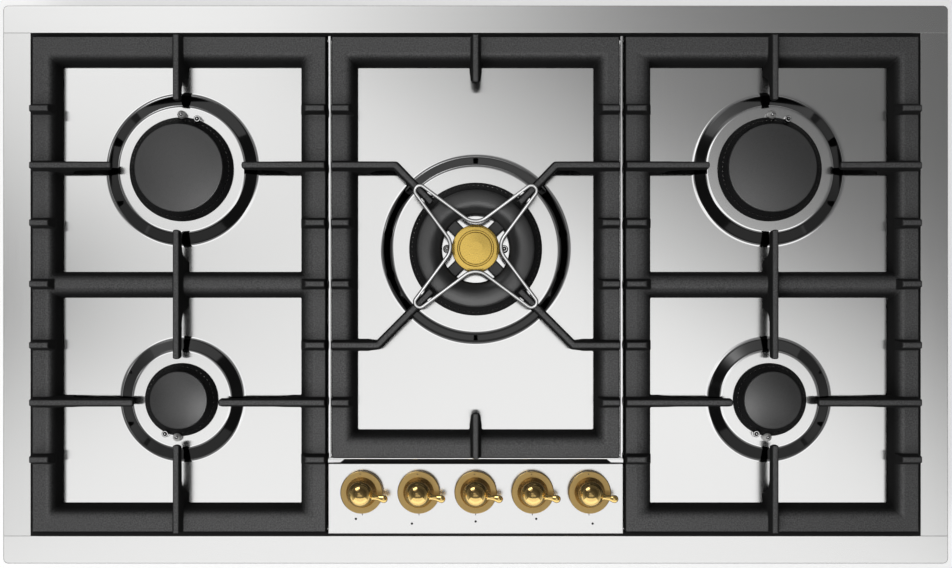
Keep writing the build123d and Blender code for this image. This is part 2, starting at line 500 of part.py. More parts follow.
def bent_finger(y, bend_x, side, tip_r=59.0):
    """From the side bar at y, level in plan to the bend, then at 45 degrees to the burner's centre."""
    x_out = side * MID_X
    b = (side * bend_x, y)
    dy = STAR_Y - y
    sgn = 1 if dy > 0 else -1
    tip = (side * tip_r / sqrt(2), STAR_Y - sgn * tip_r / sqrt(2))
    n1 = abs(x_out - b[0])
    a = BAR_W + ROOT
    lo = FINGER_LOW
    rise = lo - Z_BAR_LOW
    side1 = [(0.0, Z_BAR_LOW), (a, Z_BAR_LOW), (a + RAMP * 0.42, Z_BAR_LOW + rise * 0.62), (min(a + RAMP * 0.72, n1 - 0.5), lo - 3.2)]
    if a + RAMP < n1 - 0.5:
        side1.append((a + RAMP, lo - 0.9))
    side1 += [(n1, lo - 0.4), (n1, Z_FINGER), (0.4, Z_FINGER), (0.0, Z_FINGER - 0.4)]
    first = placed(run_solid(n1, side1), (x_out, y), b)
    n2 = hypot(tip[0] - b[0], tip[1] - b[1])
    side2 = [(0.0, lo - 0.4), (n2, lo + 1.0), (n2, Z_FINGER - 1.0), (n2 - 1.0, Z_FINGER), (0.0, Z_FINGER)]
    second = placed(run_solid(n2, side2) & tip_trim(n2), b, tip)
    half = FINGER_MID - (FINGER_MID - FINGER_TOP - 0.2) * (lo - 0.4 - Z_BAR) / (Z_FINGER - 0.9 - Z_BAR)
    knee = turned([(0, lo - 0.4), (half, lo - 0.4), (FINGER_TOP + 0.2, Z_FINGER - 0.9), (FINGER_TOP - 0.6, Z_FINGER), (0, Z_FINGER)],
                  b[0], b[1])
    return [first, knee, second]


centre = grate_frame(-MID_X, MID_X, MID_Y0, MID_Y1)
parts = []
for s in (-1, 1):
    parts += bent_finger(113.2, 76.8, s)
    parts += bent_finger(-58.5, 93.5, s)
    for y in (167.5, 58.4, 0.0, -113.2):
        parts.append(stub((s * MID_X, y), (-s, 0)))
parts.append(short_finger((0, MID_Y1), (0, 192.0)))
parts.append(short_finger((0, MID_Y0), (0, -123.0)))
for piece in parts:
    centre += piece
save("centre_grate", centre)
save("centre_grate_feet", *pads([(x, y) for x in (-MID_X + 13, MID_X - 13) for y in (MID_Y0 + 13, 35.0, MID_Y1 - 13)]))

# ---------------------------------------------------------------- wire star trivet
TIP_R, TIP_BEND, WAIST_R, WAIST_BEND = 79.8, 5.0, 24.0, 13.0
tip_v, waist_v = 109.0, 20.6
for _ in range(30):
    tx = tip_v / sqrt(2)
    beta = atan2(tx, tx - waist_v)
    waist_v = WAIST_R - WAIST_BEND / sin(beta) + WAIST_BEND
    d = hypot(tx - waist_v, tx)
    alpha = pi / 4 - atan2(tx - waist_v, tx)
    alpha = abs(alpha)
    tip_v = TIP_R - TIP_BEND + TIP_BEND / sin(alpha)
points, radii = [], []
for k in range(4):
    a = radians(90 * k)
    points.append((waist_v * cos(a), waist_v * sin(a)))
    radii.append(WAIST_BEND)
    a = radians(90 * k + 45)
    points.append((tip_v * cos(a), tip_v * sin(a)))
    radii.append(TIP_BEND)
z_wire = Z_FINGER + WIRE_R + 0.1


def corner_arc(prev, here, after, r):
    """Tangent points and mid point of the arc that rounds one corner."""
    ax, ay = prev[0] - here[0], prev[1] - here[1]
    bx, by = after[0] - here[0], after[1] - here[1]
    la, lb = hypot(ax, ay), hypot(bx, by)
    ax, ay, bx, by = ax / la, ay / la, bx / lb, by / lb
    half = 0.5 * (pi - abs(atan2(ax * by - ay * bx, ax * bx + ay * by)))
    half = pi / 2 - half
    t = r / tan(half)
    cx, cy = ax + bx, ay + by
    lc = hypot(cx, cy)
    cx, cy = cx / lc, cy / lc
    dist = r / sin(half)
    centre_pt = (here[0] + cx * dist, here[1] + cy * dist)
    midpt = (centre_pt[0] - cx * r, centre_pt[1] - cy * r)
    return (here[0] + ax * t, here[1] + ay * t), midpt, (here[0] + bx * t, here[1] + by * t)


n_pts = len(points)
arcs = [corner_arc(points[k - 1], points[k], points[(k + 1) % n_pts], radii[k]) for k in range(n_pts)]
edges = []
for k in range(n_pts):
    s_pt, m_pt, e_pt = arcs[k]
    z = z_wire
    y_off = STAR_Y
    edges.append(ThreePointArc((s_pt[0], s_pt[1] + y_off, z), (m_pt[0], m_pt[1] + y_off, z), (e_pt[0], e_pt[1] + y_off, z)))
    nxt = arcs[(k + 1) % n_pts][0]
    edges.append(Line((e_pt[0], e_pt[1] + y_off, z), (nxt[0], nxt[1] + y_off, z)))
star = None
for e in edges:
    edge = e.edges()[0] if hasattr(e, "edges") else e
    start = edge @ 0
    piece = sweep(Plane(origin=start, z_dir=edge % 0) * Circle(WIRE_R), path=edge)
    star = piece if star is None else star + piece
print("star wire", round(sum(e.edges()[0].length for e in edges), 1), "volume / section",
      round(star.volume / (pi * WIRE_R ** 2), 1))
# each hairpin carries two locating pegs that stand down beside the finger under it
PEG_R, PEG_AT, PEG_RUN, PEG_LOW = 1.3, 64.0, 4.6, 90.0


def arm_gap(rho):
    """Distance of a wire's centre line from the diagonal at a distance from the middle of the star."""
    return (tip_v - rho) * tan(alpha)


print("arm angle", round(degrees(alpha), 2), "gap at the pegs", round(arm_gap(PEG_AT), 2))
for k in range(4):
    for s in (-1, 1):
        u0, v0 = PEG_AT, s * (arm_gap(PEG_AT) - 1.6)
        u1, v1 = PEG_AT + PEG_RUN, s * (arm_gap(PEG_AT + PEG_RUN) - 1.6)
        rest = Plane(origin=(u0, v0, z_wire), z_dir=(u1 - u0, v1 - v0, 0)) * Circle(PEG_R)
        peg = extrude(rest, hypot(u1 - u0, v1 - v0))
        peg += rod(u0, v0, PEG_LOW, z_wire, PEG_R) + Pos(u0, v0, z_wire) * Sphere(PEG_R)
        star += Pos(0, STAR_Y, 0) * (Rot(0, 0, 90 * k + 45) * peg)
save("wok_star", star)

# ---------------------------------------------------------------- knobs, spindles, valves
Z_BALL = 98.5
LEVER_R0, LEVER_R1 = 3.3, 3.75


def lever_solid():
    """Slender lever along +X from the ball's centre to a rounded end."""
    xe = KNOB_LEVER - LEVER_R1
    outline = [Line((0, 0), (0, LEVER_R0)), Line((0, LEVER_R0), (xe, LEVER_R1)),
               ThreePointArc((xe, LEVER_R1), (xe + LEVER_R1 * cos(pi / 4), LEVER_R1 * sin(pi / 4)), (KNOB_LEVER, 0)),
               Line((KNOB_LEVER, 0), (0, 0))]
    face = make_face(Wire([e.edges()[0] for e in outline]))
    return Pos(0, 0, Z_BALL) * (Rot(0, 0, LEVER_TURN) * revolve(face, Axis.X, 360))


zs, zt = Z_SKIRT, Z_SKIRT_TOP
knob_base = turned([(0, zs + 1.8), (17.2, zs + 1.8), (17.2, zs), (KNOB_SKIRT_R - 0.6, zs), (KNOB_SKIRT_R, zs + 0.6),
                    (KNOB_SKIRT_R, zt - 0.9), (KNOB_SKIRT_R - 0.3, zt - 0.3), (KNOB_SKIRT_R - 1.0, zt), (14.9, zt),
                    (14.2, zt - 0.3), (11.6, zt - 1.9), (9.2, zt - 2.9), (7.6, zt - 3.1), (6.4, zt - 2.6), (5.8, zt - 1.0),
                    (5.6, zt + 1.5), (5.6, Z_BALL - 2), (0, Z_BALL - 2)])
knob_body = knob_base + Pos(0, 0, Z_BALL) * Sphere(KNOB_BALL_R) + lever_solid()
knob_body -= rod(0, 0, zs - 5, 91.0, SPINDLE_R + 0.02) - block(3.02, 6, -6, 6, 78, 95)
for k, x in enumerate(KNOB_X):
    save("knob_%d" % (k + 1), Pos(x, KNOB_Y, 0) * knob_body)
    spindle = rod(0, 0, 37.0, 90.8, SPINDLE_R) - block(3.0, 6, -6, 6, 77.8, 95)
    save("spindle_%d" % (k + 1), Pos(x, KNOB_Y, 0) * spindle)
    plug = rod(0, 0, 27.4, 53.6, PLUG_R) - rod(0, 0, 31.0, 60.0, SPINDLE_R + RUN_CLEAR)
    save("valve_plug_%d" % (k + 1), Pos(x, KNOB_Y, 0) * plug)

valves = []
for x in KNOB_X:
    v = block(x - 13, x + 13, KNOB_Y - 13, KNOB_Y + 13, 24.0, 51.0)
    v = chamfer(v.edges().filter_by(Axis.Z), 2.5)
    v -= rod(x, KNOB_Y, 27.0, 60.0, PLUG_R + RUN_CLEAR)
    v -= Pos(x, KNOB_Y + 10.5, PIPE_Z) * Rot(90, 0, 0) * Cylinder(PIPE_R, 5.0)
    valves.append(v)
save("valve_bodies", *valves)

# ---------------------------------------------------------------- gas pipes
def pipe(points, r, bend, wall=0.8):
    path = FilletPolyline(*points, radius=bend) if len(points) > 2 else Line(*points)
    start = path @ 0
    ring = Plane(origin=start, z_dir=path % 0) * (Circle(r) - Circle(r - wall))
    return sweep(ring, path=path)


y_valve = KNOB_Y + 13.0
feeds = []
for s in (-1, 1):
    feeds.append(pipe([(s * 109.6, y_valve, PIPE_Z), (s * 109.6, -111.5, PIPE_Z), (s * (285.5 - 16.0), -111.5, PIPE_Z)], PIPE_R, 22))
    feeds.append(pipe([(s * 54.8, y_valve, PIPE_Z), (s * 54.8, -66.0, PIPE_Z), (s * 285.5, -66.0, PIPE_Z),
                       (s * 285.5, 112.0 - 16.0, PIPE_Z)], PIPE_R, 22))
feeds.append(pipe([(0, y_valve, PIPE_Z), (0, CENTRE_Y - 16.0, PIPE_Z)], PIPE_R, 22))
save("feed_pipes", *feeds)

elbow = block(INLET_X - 13, INLET_X + 13, INLET_Y - 13, INLET_Y + 13, 23.0, 49.0)
elbow = chamfer(elbow.edges().filter_by(Axis.Z), 3.0)
elbow += rod(INLET_X, INLET_Y, 2.0, 23.0, INLET_R)
elbow -= rod(INLET_X, INLET_Y, 0.0, 36.0, 7.0)
elbow -= Pos(INLET_X, INLET_Y - 6.5, MANIFOLD_Z) * Rot(90, 0, 0) * Cylinder(6.0, 15.0)
save("gas_inlet_elbow", elbow)
manifold = pipe([(-143.0, MANIFOLD_Y, MANIFOLD_Z), (INLET_X, MANIFOLD_Y, MANIFOLD_Z), (INLET_X, INLET_Y - 13, MANIFOLD_Z)],
                MANIFOLD_R, 34.0, 1.5)
manifold += Pos(-143.75, MANIFOLD_Y, MANIFOLD_Z) * Rot(0, 90, 0) * Cylinder(MANIFOLD_R, 1.5)
save("gas_manifold", manifold)

brackets = []
for x in (-130.0, 27.4, 250.0):
    b = block(x - 8, x + 8, MANIFOLD_Y - 10, MANIFOLD_Y + 8, T_BOX, MANIFOLD_Z - MANIFOLD_R)
    b -= block(x - 9, x + 9, MANIFOLD_Y - 8.5, MANIFOLD_Y + 6.5, T_BOX - 1, MANIFOLD_Z - MANIFOLD_R - 1.5)
    brackets.append(b)
save("manifold_brackets", *brackets)

# ---------------------------------------------------------------- electrical pieces
module = block(-330, -255, 168, 222, T_BOX, 30.0)
module = fillet(module.edges().filter_by(Axis.Z), 4.0)
tabs = [block(-322 + 13 * k, -318 + 13 * k, 190, 196, 30.0, 38.0) for k in range(5)]
for t in tabs:
    module += t
save("spark_module", module)
terminal = block(-395, -349, 196, 224, T_BOX, 19.0)
terminal -= [rod(-387 + 15 * k, 210, 9, 25, 3.0) for k in range(3)]
save("terminal_block", terminal)
save("cable_gland", turned([(GLAND_BORE, 0.0), (9.95, 0.0), (9.95, 1.0), (13.0, 1.0), (13.0, 3.5), (9.0, 4.5), (8.0, 16.0),
                            (GLAND_BORE, 16.0)], GLAND_X, GLAND_Y))
print(len(made), "nodes")
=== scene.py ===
import json
from math import atan2, ceil, cos, degrees, hypot, pi, radians, sin, sqrt, tan

import bmesh
import bpy
from mathutils import Matrix, Vector
from mathutils.geometry import delaunay_2d_cdt

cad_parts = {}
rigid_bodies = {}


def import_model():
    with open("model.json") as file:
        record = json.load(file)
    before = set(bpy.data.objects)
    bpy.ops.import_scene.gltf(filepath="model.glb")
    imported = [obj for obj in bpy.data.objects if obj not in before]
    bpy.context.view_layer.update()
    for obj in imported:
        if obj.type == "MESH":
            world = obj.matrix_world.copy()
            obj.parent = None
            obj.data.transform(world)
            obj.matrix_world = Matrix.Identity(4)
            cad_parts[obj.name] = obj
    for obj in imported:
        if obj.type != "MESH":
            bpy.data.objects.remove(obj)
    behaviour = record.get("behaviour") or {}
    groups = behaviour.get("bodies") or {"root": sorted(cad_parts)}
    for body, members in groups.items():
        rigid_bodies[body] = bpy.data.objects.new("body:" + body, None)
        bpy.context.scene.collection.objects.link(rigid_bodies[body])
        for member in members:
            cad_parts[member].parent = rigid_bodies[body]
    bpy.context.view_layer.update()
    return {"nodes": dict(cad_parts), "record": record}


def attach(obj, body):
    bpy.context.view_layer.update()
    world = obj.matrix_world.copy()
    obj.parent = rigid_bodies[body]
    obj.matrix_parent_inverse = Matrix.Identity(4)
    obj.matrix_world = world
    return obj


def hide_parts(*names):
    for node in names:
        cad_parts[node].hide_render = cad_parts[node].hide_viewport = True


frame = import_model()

# Five-burner gas cooktop. Lengths below are millimetres and become metres in the meshes.
# +X right, +Y to the rear, +Z up; origin on the flat underside of the burner box.
MM = 0.001
nodes = frame["nodes"]

# ---------------------------------------------------------------- sizes shared with the construction
Z_PAN, Z_PLATEAU, T_PAN = 56.0, 62.0, 1.2
Z_RAIL = 70.0
Z_CROWN, Z_CROWN_TOP = 63.0, 76.6
LARGE = dict(x=285.5, y=112.0, flank=73.5, seat=60.0, hole=40.0, crown=50.4, cap=42.5, cavity=36.5, pot=39.6,
             ports=66, port_r=46.6, seg=168)
SMALL = dict(x=285.5, y=-111.5, flank=60.5, seat=46.8, hole=26.0, crown=35.4, cap=27.7, cavity=22.0, pot=25.6,
             ports=44, port_r=31.9, seg=144)
CENTRE = dict(flank=90.9, seat=80.0, hole=52.0, crown=64.5, ring_out=56.5, ring_in=33.5, inner_cap=22.0, pot=51.6,
              ports=84, port_r=61.2, seg=208)
CX, CY = 0.0, 34.5
REAR_SPARK, REAR_SENSOR = (1.0, 52.3), (16.5, 48.0)
FRONT_SPARK, FRONT_SENSOR = (-3.3, -36.2), (-14.4, -32.8)
MID_SPARK, MID_SENSOR = (-27.6, 0.0), (27.6, 0.0)
SPARK_R, SENSOR_R = 4.0, 3.25
STAR_Y, WIRE_R, PEG_R = 35.5, 1.8, 1.3
KNOB_X = (-109.6, -54.8, 0.0, 54.8, 109.6)
KNOB_Y = -200.0
BURNERS = [("rear_left", -LARGE["x"], LARGE["y"], LARGE, REAR_SPARK, REAR_SENSOR),
           ("rear_right", LARGE["x"], LARGE["y"], LARGE, REAR_SPARK, REAR_SENSOR),
           ("front_left", -SMALL["x"], SMALL["y"], SMALL, FRONT_SPARK, FRONT_SENSOR),
           ("front_right", SMALL["x"], SMALL["y"], SMALL, FRONT_SPARK, FRONT_SENSOR),
           ("centre", CX, CY, CENTRE, MID_SPARK, MID_SENSOR)]


# ================================================================ materials
class Nodes:
    """A material's node tree with short calls for the nodes used here."""

    def __init__(self, name):
        self.mat = bpy.data.materials.new(name)
        self.mat.use_nodes = True
        self.t = self.mat.node_tree
        self.t.nodes.clear()
        self.out = self.t.nodes.new("ShaderNodeOutputMaterial")
        self.bsdf = self.t.nodes.new("ShaderNodeBsdfPrincipled")
        self.t.links.new(self.bsdf.outputs[0], self.out.inputs[0])
        self.co = self.t.nodes.new("ShaderNodeTexCoord")

    def put(self, node, key, value):
        if isinstance(value, bpy.types.NodeSocket):
            self.t.links.new(value, node.inputs[key])
        else:
            node.inputs[key].default_value = value

    def set(self, **kw):
        for k, v in kw.items():
            self.put(self.bsdf, k.replace("_", " "), v)

    def mapping(self, scale=(1, 1, 1), rot=(0, 0, 0)):
        n = self.t.nodes.new("ShaderNodeMapping")
        n.inputs["Scale"].default_value = scale
        n.inputs["Rotation"].default_value = rot
        self.t.links.new(self.co.outputs["Object"], n.inputs["Vector"])
        return n.outputs[0]

    def noise(self, vec, scale, detail=2.0, rough=0.5, distortion=0.0):
        n = self.t.nodes.new("ShaderNodeTexNoise")
        self.put(n, "Vector", vec)
        self.put(n, "Scale", scale)
        self.put(n, "Detail", detail)
        self.put(n, "Roughness", rough)
        self.put(n, "Distortion", distortion)
        return n.outputs["Fac"]

    def voronoi(self, vec, scale, feature="F1", out="Distance"):
        n = self.t.nodes.new("ShaderNodeTexVoronoi")
        n.feature = feature
        self.put(n, "Vector", vec)
        self.put(n, "Scale", scale)
        return n.outputs[out]

    def ramp(self, fac, stops, interp="LINEAR"):
        n = self.t.nodes.new("ShaderNodeValToRGB")
        n.color_ramp.interpolation = interp
        self.put(n, "Fac", fac)
        e = n.color_ramp.elements
        while len(e) < len(stops):
            e.new(0.5)
        for el, (p, c) in zip(e, stops):
            el.position = p
            el.color = (c, c, c, 1) if isinstance(c, (int, float)) else tuple(c) + (1,)
        return n.outputs["Color"]

    def maths(self, op, a, b=0.0, c=0.0, clamp=False):
        n = self.t.nodes.new("ShaderNodeMath")
        n.operation = op
        n.use_clamp = clamp
        self.put(n, 0, a)
        self.put(n, 1, b)
        if op in ("MULTIPLY_ADD", "SMOOTH_MIN", "SMOOTH_MAX"):
            self.put(n, 2, c)
        return n.outputs[0]

    def to_range(self, v, a, b, c, d):
        n = self.t.nodes.new("ShaderNodeMapRange")
        for k, x in (("Value", v), ("From Min", a), ("From Max", b), ("To Min", c), ("To Max", d)):
            self.put(n, k, x)
        return n.outputs[0]

    def mix(self, fac, a, b):
        n = self.t.nodes.new("ShaderNodeMix")
        n.data_type = "RGBA"
        self.put(n, 0, fac)
        self.put(n, 6, a if isinstance(a, bpy.types.NodeSocket) else tuple(a) + (1,))
        self.put(n, 7, b if isinstance(b, bpy.types.NodeSocket) else tuple(b) + (1,))
        return n.outputs[2]

    def bump(self, height, strength, distance, normal=None):
        n = self.t.nodes.new("ShaderNodeBump")
        self.put(n, "Height", height)
        self.put(n, "Strength", strength)
        self.put(n, "Distance", distance)
        if normal is not None:
            self.put(n, "Normal", normal)
        return n.outputs[0]

    def pointiness(self):
        n = self.t.nodes.new("ShaderNodeNewGeometry")
        return n.outputs["Pointiness"]


def steel(name, base, rough, along=None, grain=0.02, speck=0.0, bump=0.15, spread=0.0, tangent=None):
    """Stainless sheet. along is the direction of its brushed grain, or None for a fine non-directional finish.
    spread makes its reflections wider along tangent than across it."""
    m = Nodes(name)
    if tangent:
        m.bsdf.inputs["Anisotropic"].default_value = spread
        tv = m.t.nodes.new("ShaderNodeCombineXYZ")
        for i in range(3):
            tv.inputs[i].default_value = tangent[i]
        m.t.links.new(tv.outputs[0], m.bsdf.inputs["Tangent"])
    if along == "x":
        vec = m.mapping((14, 1500, 900))
    elif along == "y":
        vec = m.mapping((1500, 14, 900))
    else:
        vec = m.mapping((900, 900, 900))
    lines = m.noise(vec, 1.0, 3.0, 0.6)
    broad = m.noise(m.mapping((3.0, 3.0, 3.0)), 1.6, 2.0, 0.5)
    fine = m.noise(m.mapping((620, 620, 620)), 1.0, 2.0, 0.65)
    lo = tuple(c * (1 - grain) for c in base)
    hi = tuple(min(1.0, c * (1 + grain)) for c in base)
    col = m.mix(lines, lo, hi)
    if speck:
        col = m.mix(m.maths("MULTIPLY", m.to_range(fine, 0.35, 0.65, 0.0, 1.0), speck), col, tuple(c * 0.86 for c in base))
    rg = m.maths("ADD", m.to_range(lines, 0.3, 0.7, rough * 0.95, rough * 1.07), m.to_range(broad, 0.3, 0.7, -0.005, 0.005))
    m.set(Base_Color=col, Metallic=1.0, Roughness=rg)
    m.set(Normal=m.bump(lines, bump, 0.00002))
    return m.mat


def polished(name, base, rough, scuff=0.04, painted_side_tint=None):
    """Polished metal, with an optional painted shade: a darker tint on the faces that point sideways."""
    m = Nodes(name)
    swirl = m.noise(m.mapping((160, 160, 160)), 1.0, 3.0, 0.6, 0.4)
    hair = m.noise(m.mapping((40, 900, 900), (0.3, 0.2, 0.9)), 1.0, 2.0, 0.6)
    col = m.mix(swirl, tuple(c * 0.97 for c in base), base)
    if painted_side_tint:
        s3 = m.t.nodes.new("ShaderNodeSeparateXYZ")
        m.t.links.new(m.co.outputs["Normal"], s3.inputs[0])
        # painted shade: faces that point sideways take the darker tint
        col = m.mix(m.ramp(s3.outputs[2], [(0.0, 0.0), (0.55, 0.0), (0.74, 0.45), (0.86, 1.0)]), painted_side_tint, col)
    m.set(Base_Color=col, Metallic=1.0,
          Roughness=m.maths("ADD", m.to_range(swirl, 0.35, 0.75, rough, rough + scuff), m.to_range(hair, 0.5, 0.8, 0.0, 0.02)))
    return m.mat


def cast(name, base, rough, grain_mm=1.1, depth=0.00012, level=0.4, strength=0.55, edge=0.35, side=1.0, mottle=0.2):
    """Matt vitreous enamel over cast iron: a fine orange-peel grain, slightly lighter on worn edges, and painted
    shade:
    faces that point sideways are side times as light as the tops."""
    m = Nodes(name)
    g = m.noise(m.mapping((1, 1, 1)), 1000.0 / grain_mm, 2.0, 0.55)
    f = m.noise(m.mapping((1, 1, 1)), 2600.0 / grain_mm, 1.0, 0.5)
    broad = m.noise(m.mapping((1, 1, 1)), 22.0, 3.0, 0.55)
    wear = m.to_range(m.pointiness(), 0.505, 0.56, 0.0, edge)
    col = m.mix(m.to_range(g, 0.36, 0.64, 0.0, 1.0), tuple(c * (1 - mottle) for c in base), tuple(c * (1 + mottle * 1.1) for c in base))
    col = m.mix(m.to_range(broad, 0.3, 0.7, 0.0, 0.5), col, tuple(c * 1.12 for c in base))
    col = m.mix(wear, col, tuple(min(1, c * 1.9 + 0.012) for c in base))
    # painted shade: faces that point sideways fall towards side times the base colour
    if side < 1.0:
        s3 = m.t.nodes.new("ShaderNodeSeparateXYZ")
        m.t.links.new(m.co.outputs["Normal"], s3.inputs[0])
        up = m.to_range(s3.outputs[2], 0.66, 0.985, 0.0, 1.0)
        painted_side_mask = m.ramp(s3.outputs[2], [(0.0, 0.0), (0.18, 0.03), (0.35, 0.10), (0.55, 0.22), (0.78, 0.42), (0.93, 0.66), (0.985, 1.0)])
        col = m.mix(painted_side_mask, tuple(c * side for c in base), col)
    rg = m.to_range(f, 0.3, 0.7, rough - 0.05, rough + 0.06)
    if side < 1.0:
        rg = m.maths("ADD", rg, m.to_range(up, 0.0, 1.0, 0.42, 0.0))
        level = m.to_range(up, 0.0, 1.0, 0.12, level)
    m.set(Base_Color=col, Metallic=0.0, Roughness=rg, Specular_IOR_Level=level)
    h = m.maths("ADD", g, m.maths("MULTIPLY", f, 0.35))
    m.set(Normal=m.bump(h, strength, depth))
    return m.mat


def brass_mat(name, base, dark, rough, grain=0.0, metal=1.0, scale=700.0, depth=0.00003, top=None):
    """Brass. top, when given, is a painted dark reflection: a deeper tint on faces turned up and to the rear."""
    m = Nodes(name)
    n1 = m.noise(m.mapping((1, 1, 1)), scale, 3.0, 0.6)
    n2 = m.noise(m.mapping((1, 1, 1)), 60.0, 2.0, 0.5)
    col = m.mix(m.to_range(n1, 0.3, 0.75, 0.0, 1.0), dark, base)
    # painted reflection: faces turned up and to the rear take the darker top colour
    if top:
        s3 = m.t.nodes.new("ShaderNodeSeparateXYZ")
        m.t.links.new(m.co.outputs["Normal"], s3.inputs[0])
        v = m.maths("ADD", m.maths("MULTIPLY", s3.outputs[1], 0.72), m.maths("MULTIPLY", s3.outputs[2], 0.69))
        col = m.mix(m.ramp(v, [(0.0, 0.0), (0.46, 0.0), (0.60, 0.7), (0.76, 1.0)]), col, top)
    m.set(Base_Color=col, Metallic=metal,
          Roughness=m.maths("ADD", m.to_range(n1, 0.3, 0.7, rough, rough + 0.05 + grain), m.to_range(n2, 0.3, 0.7, 0.0, 0.02)))
    if grain:
        m.set(Normal=m.bump(n1, 0.5, depth))
    return m.mat


def galvanised(name):
    """Zinc-coated sheet with a faint spangle."""
    m = Nodes(name)
    cell = m.voronoi(m.mapping((1, 1, 1)), 95.0, "F1", "Color")
    sep = m.t.nodes.new("ShaderNodeSeparateColor")
    m.t.links.new(cell, sep.inputs[0])
    dust = m.noise(m.mapping((1, 1, 1)), 420.0, 3.0, 0.6)
    base = m.mix(sep.outputs[0], (0.44, 0.455, 0.465), (0.585, 0.60, 0.615))
    base = m.mix(m.maths("MULTIPLY", dust, 0.25), base, (0.38, 0.39, 0.40))
    m.set(Base_Color=base, Metallic=0.9, Roughness=m.to_range(sep.outputs[1], 0.0, 1.0, 0.36, 0.50))
    m.set(Normal=m.bump(dust, 0.2, 0.00003))
    return m.mat


def aluminium(name):
    m = Nodes(name)
    g = m.noise(m.mapping((1, 1, 1)), 700.0, 4.0, 0.65)
    m.set(Base_Color=m.mix(g, (0.50, 0.50, 0.51), (0.66, 0.66, 0.66)), Metallic=1.0, Roughness=m.to_range(g, 0.3, 0.7, 0.32, 0.46))
    m.set(Normal=m.bump(g, 0.35, 0.00006))
    return m.mat


def ceramic(name):
    m = Nodes(name)
    g = m.noise(m.mapping((1, 1, 1)), 300.0, 3.0, 0.6)
    m.set(Base_Color=m.mix(g, (0.62, 0.615, 0.60), (0.74, 0.735, 0.72)), Roughness=m.to_range(g, 0.3, 0.7, 0.18, 0.30), Specular_IOR_Level=0.55)
    m.set(Normal=m.bump(g, 0.2, 0.00003))
    return m.mat


def rubber(name):
    m = Nodes(name)
    g = m.noise(m.mapping((1, 1, 1)), 900.0, 3.0, 0.6)
    m.set(Base_Color=m.mix(g, (0.012, 0.012, 0.012), (0.024, 0.024, 0.025)), Roughness=m.to_range(g, 0.3, 0.7, 0.62, 0.8), Specular_IOR_Level=0.3)
    m.set(Normal=m.bump(g, 0.4, 0.00008))
    return m.mat


def plastic(name, base, rough=0.42):
    m = Nodes(name)
    g = m.noise(m.mapping((1, 1, 1)), 1200.0, 2.0, 0.6)
    b = m.noise(m.mapping((1, 1, 1)), 40.0, 2.0, 0.5)
    col = m.mix(g, tuple(c * 0.93 for c in base), tuple(min(1, c * 1.05) for c in base))
    m.set(Base_Color=col, Roughness=m.maths("ADD", m.to_range(g, 0.3, 0.7, rough - 0.04, rough + 0.05), m.to_range(b, 0.3, 0.7, -0.02, 0.02)))
    m.set(Normal=m.bump(g, 0.25, 0.00005))
    return m.mat


def marking(name):
    m = Nodes(name)
    g = m.noise(m.mapping((1, 1, 1)), 2500.0, 2.0, 0.5)
    m.set(Base_Color=m.mix(g, (0.012, 0.012, 0.013), (0.035, 0.035, 0.036)), Roughness=0.5)
    return m.mat


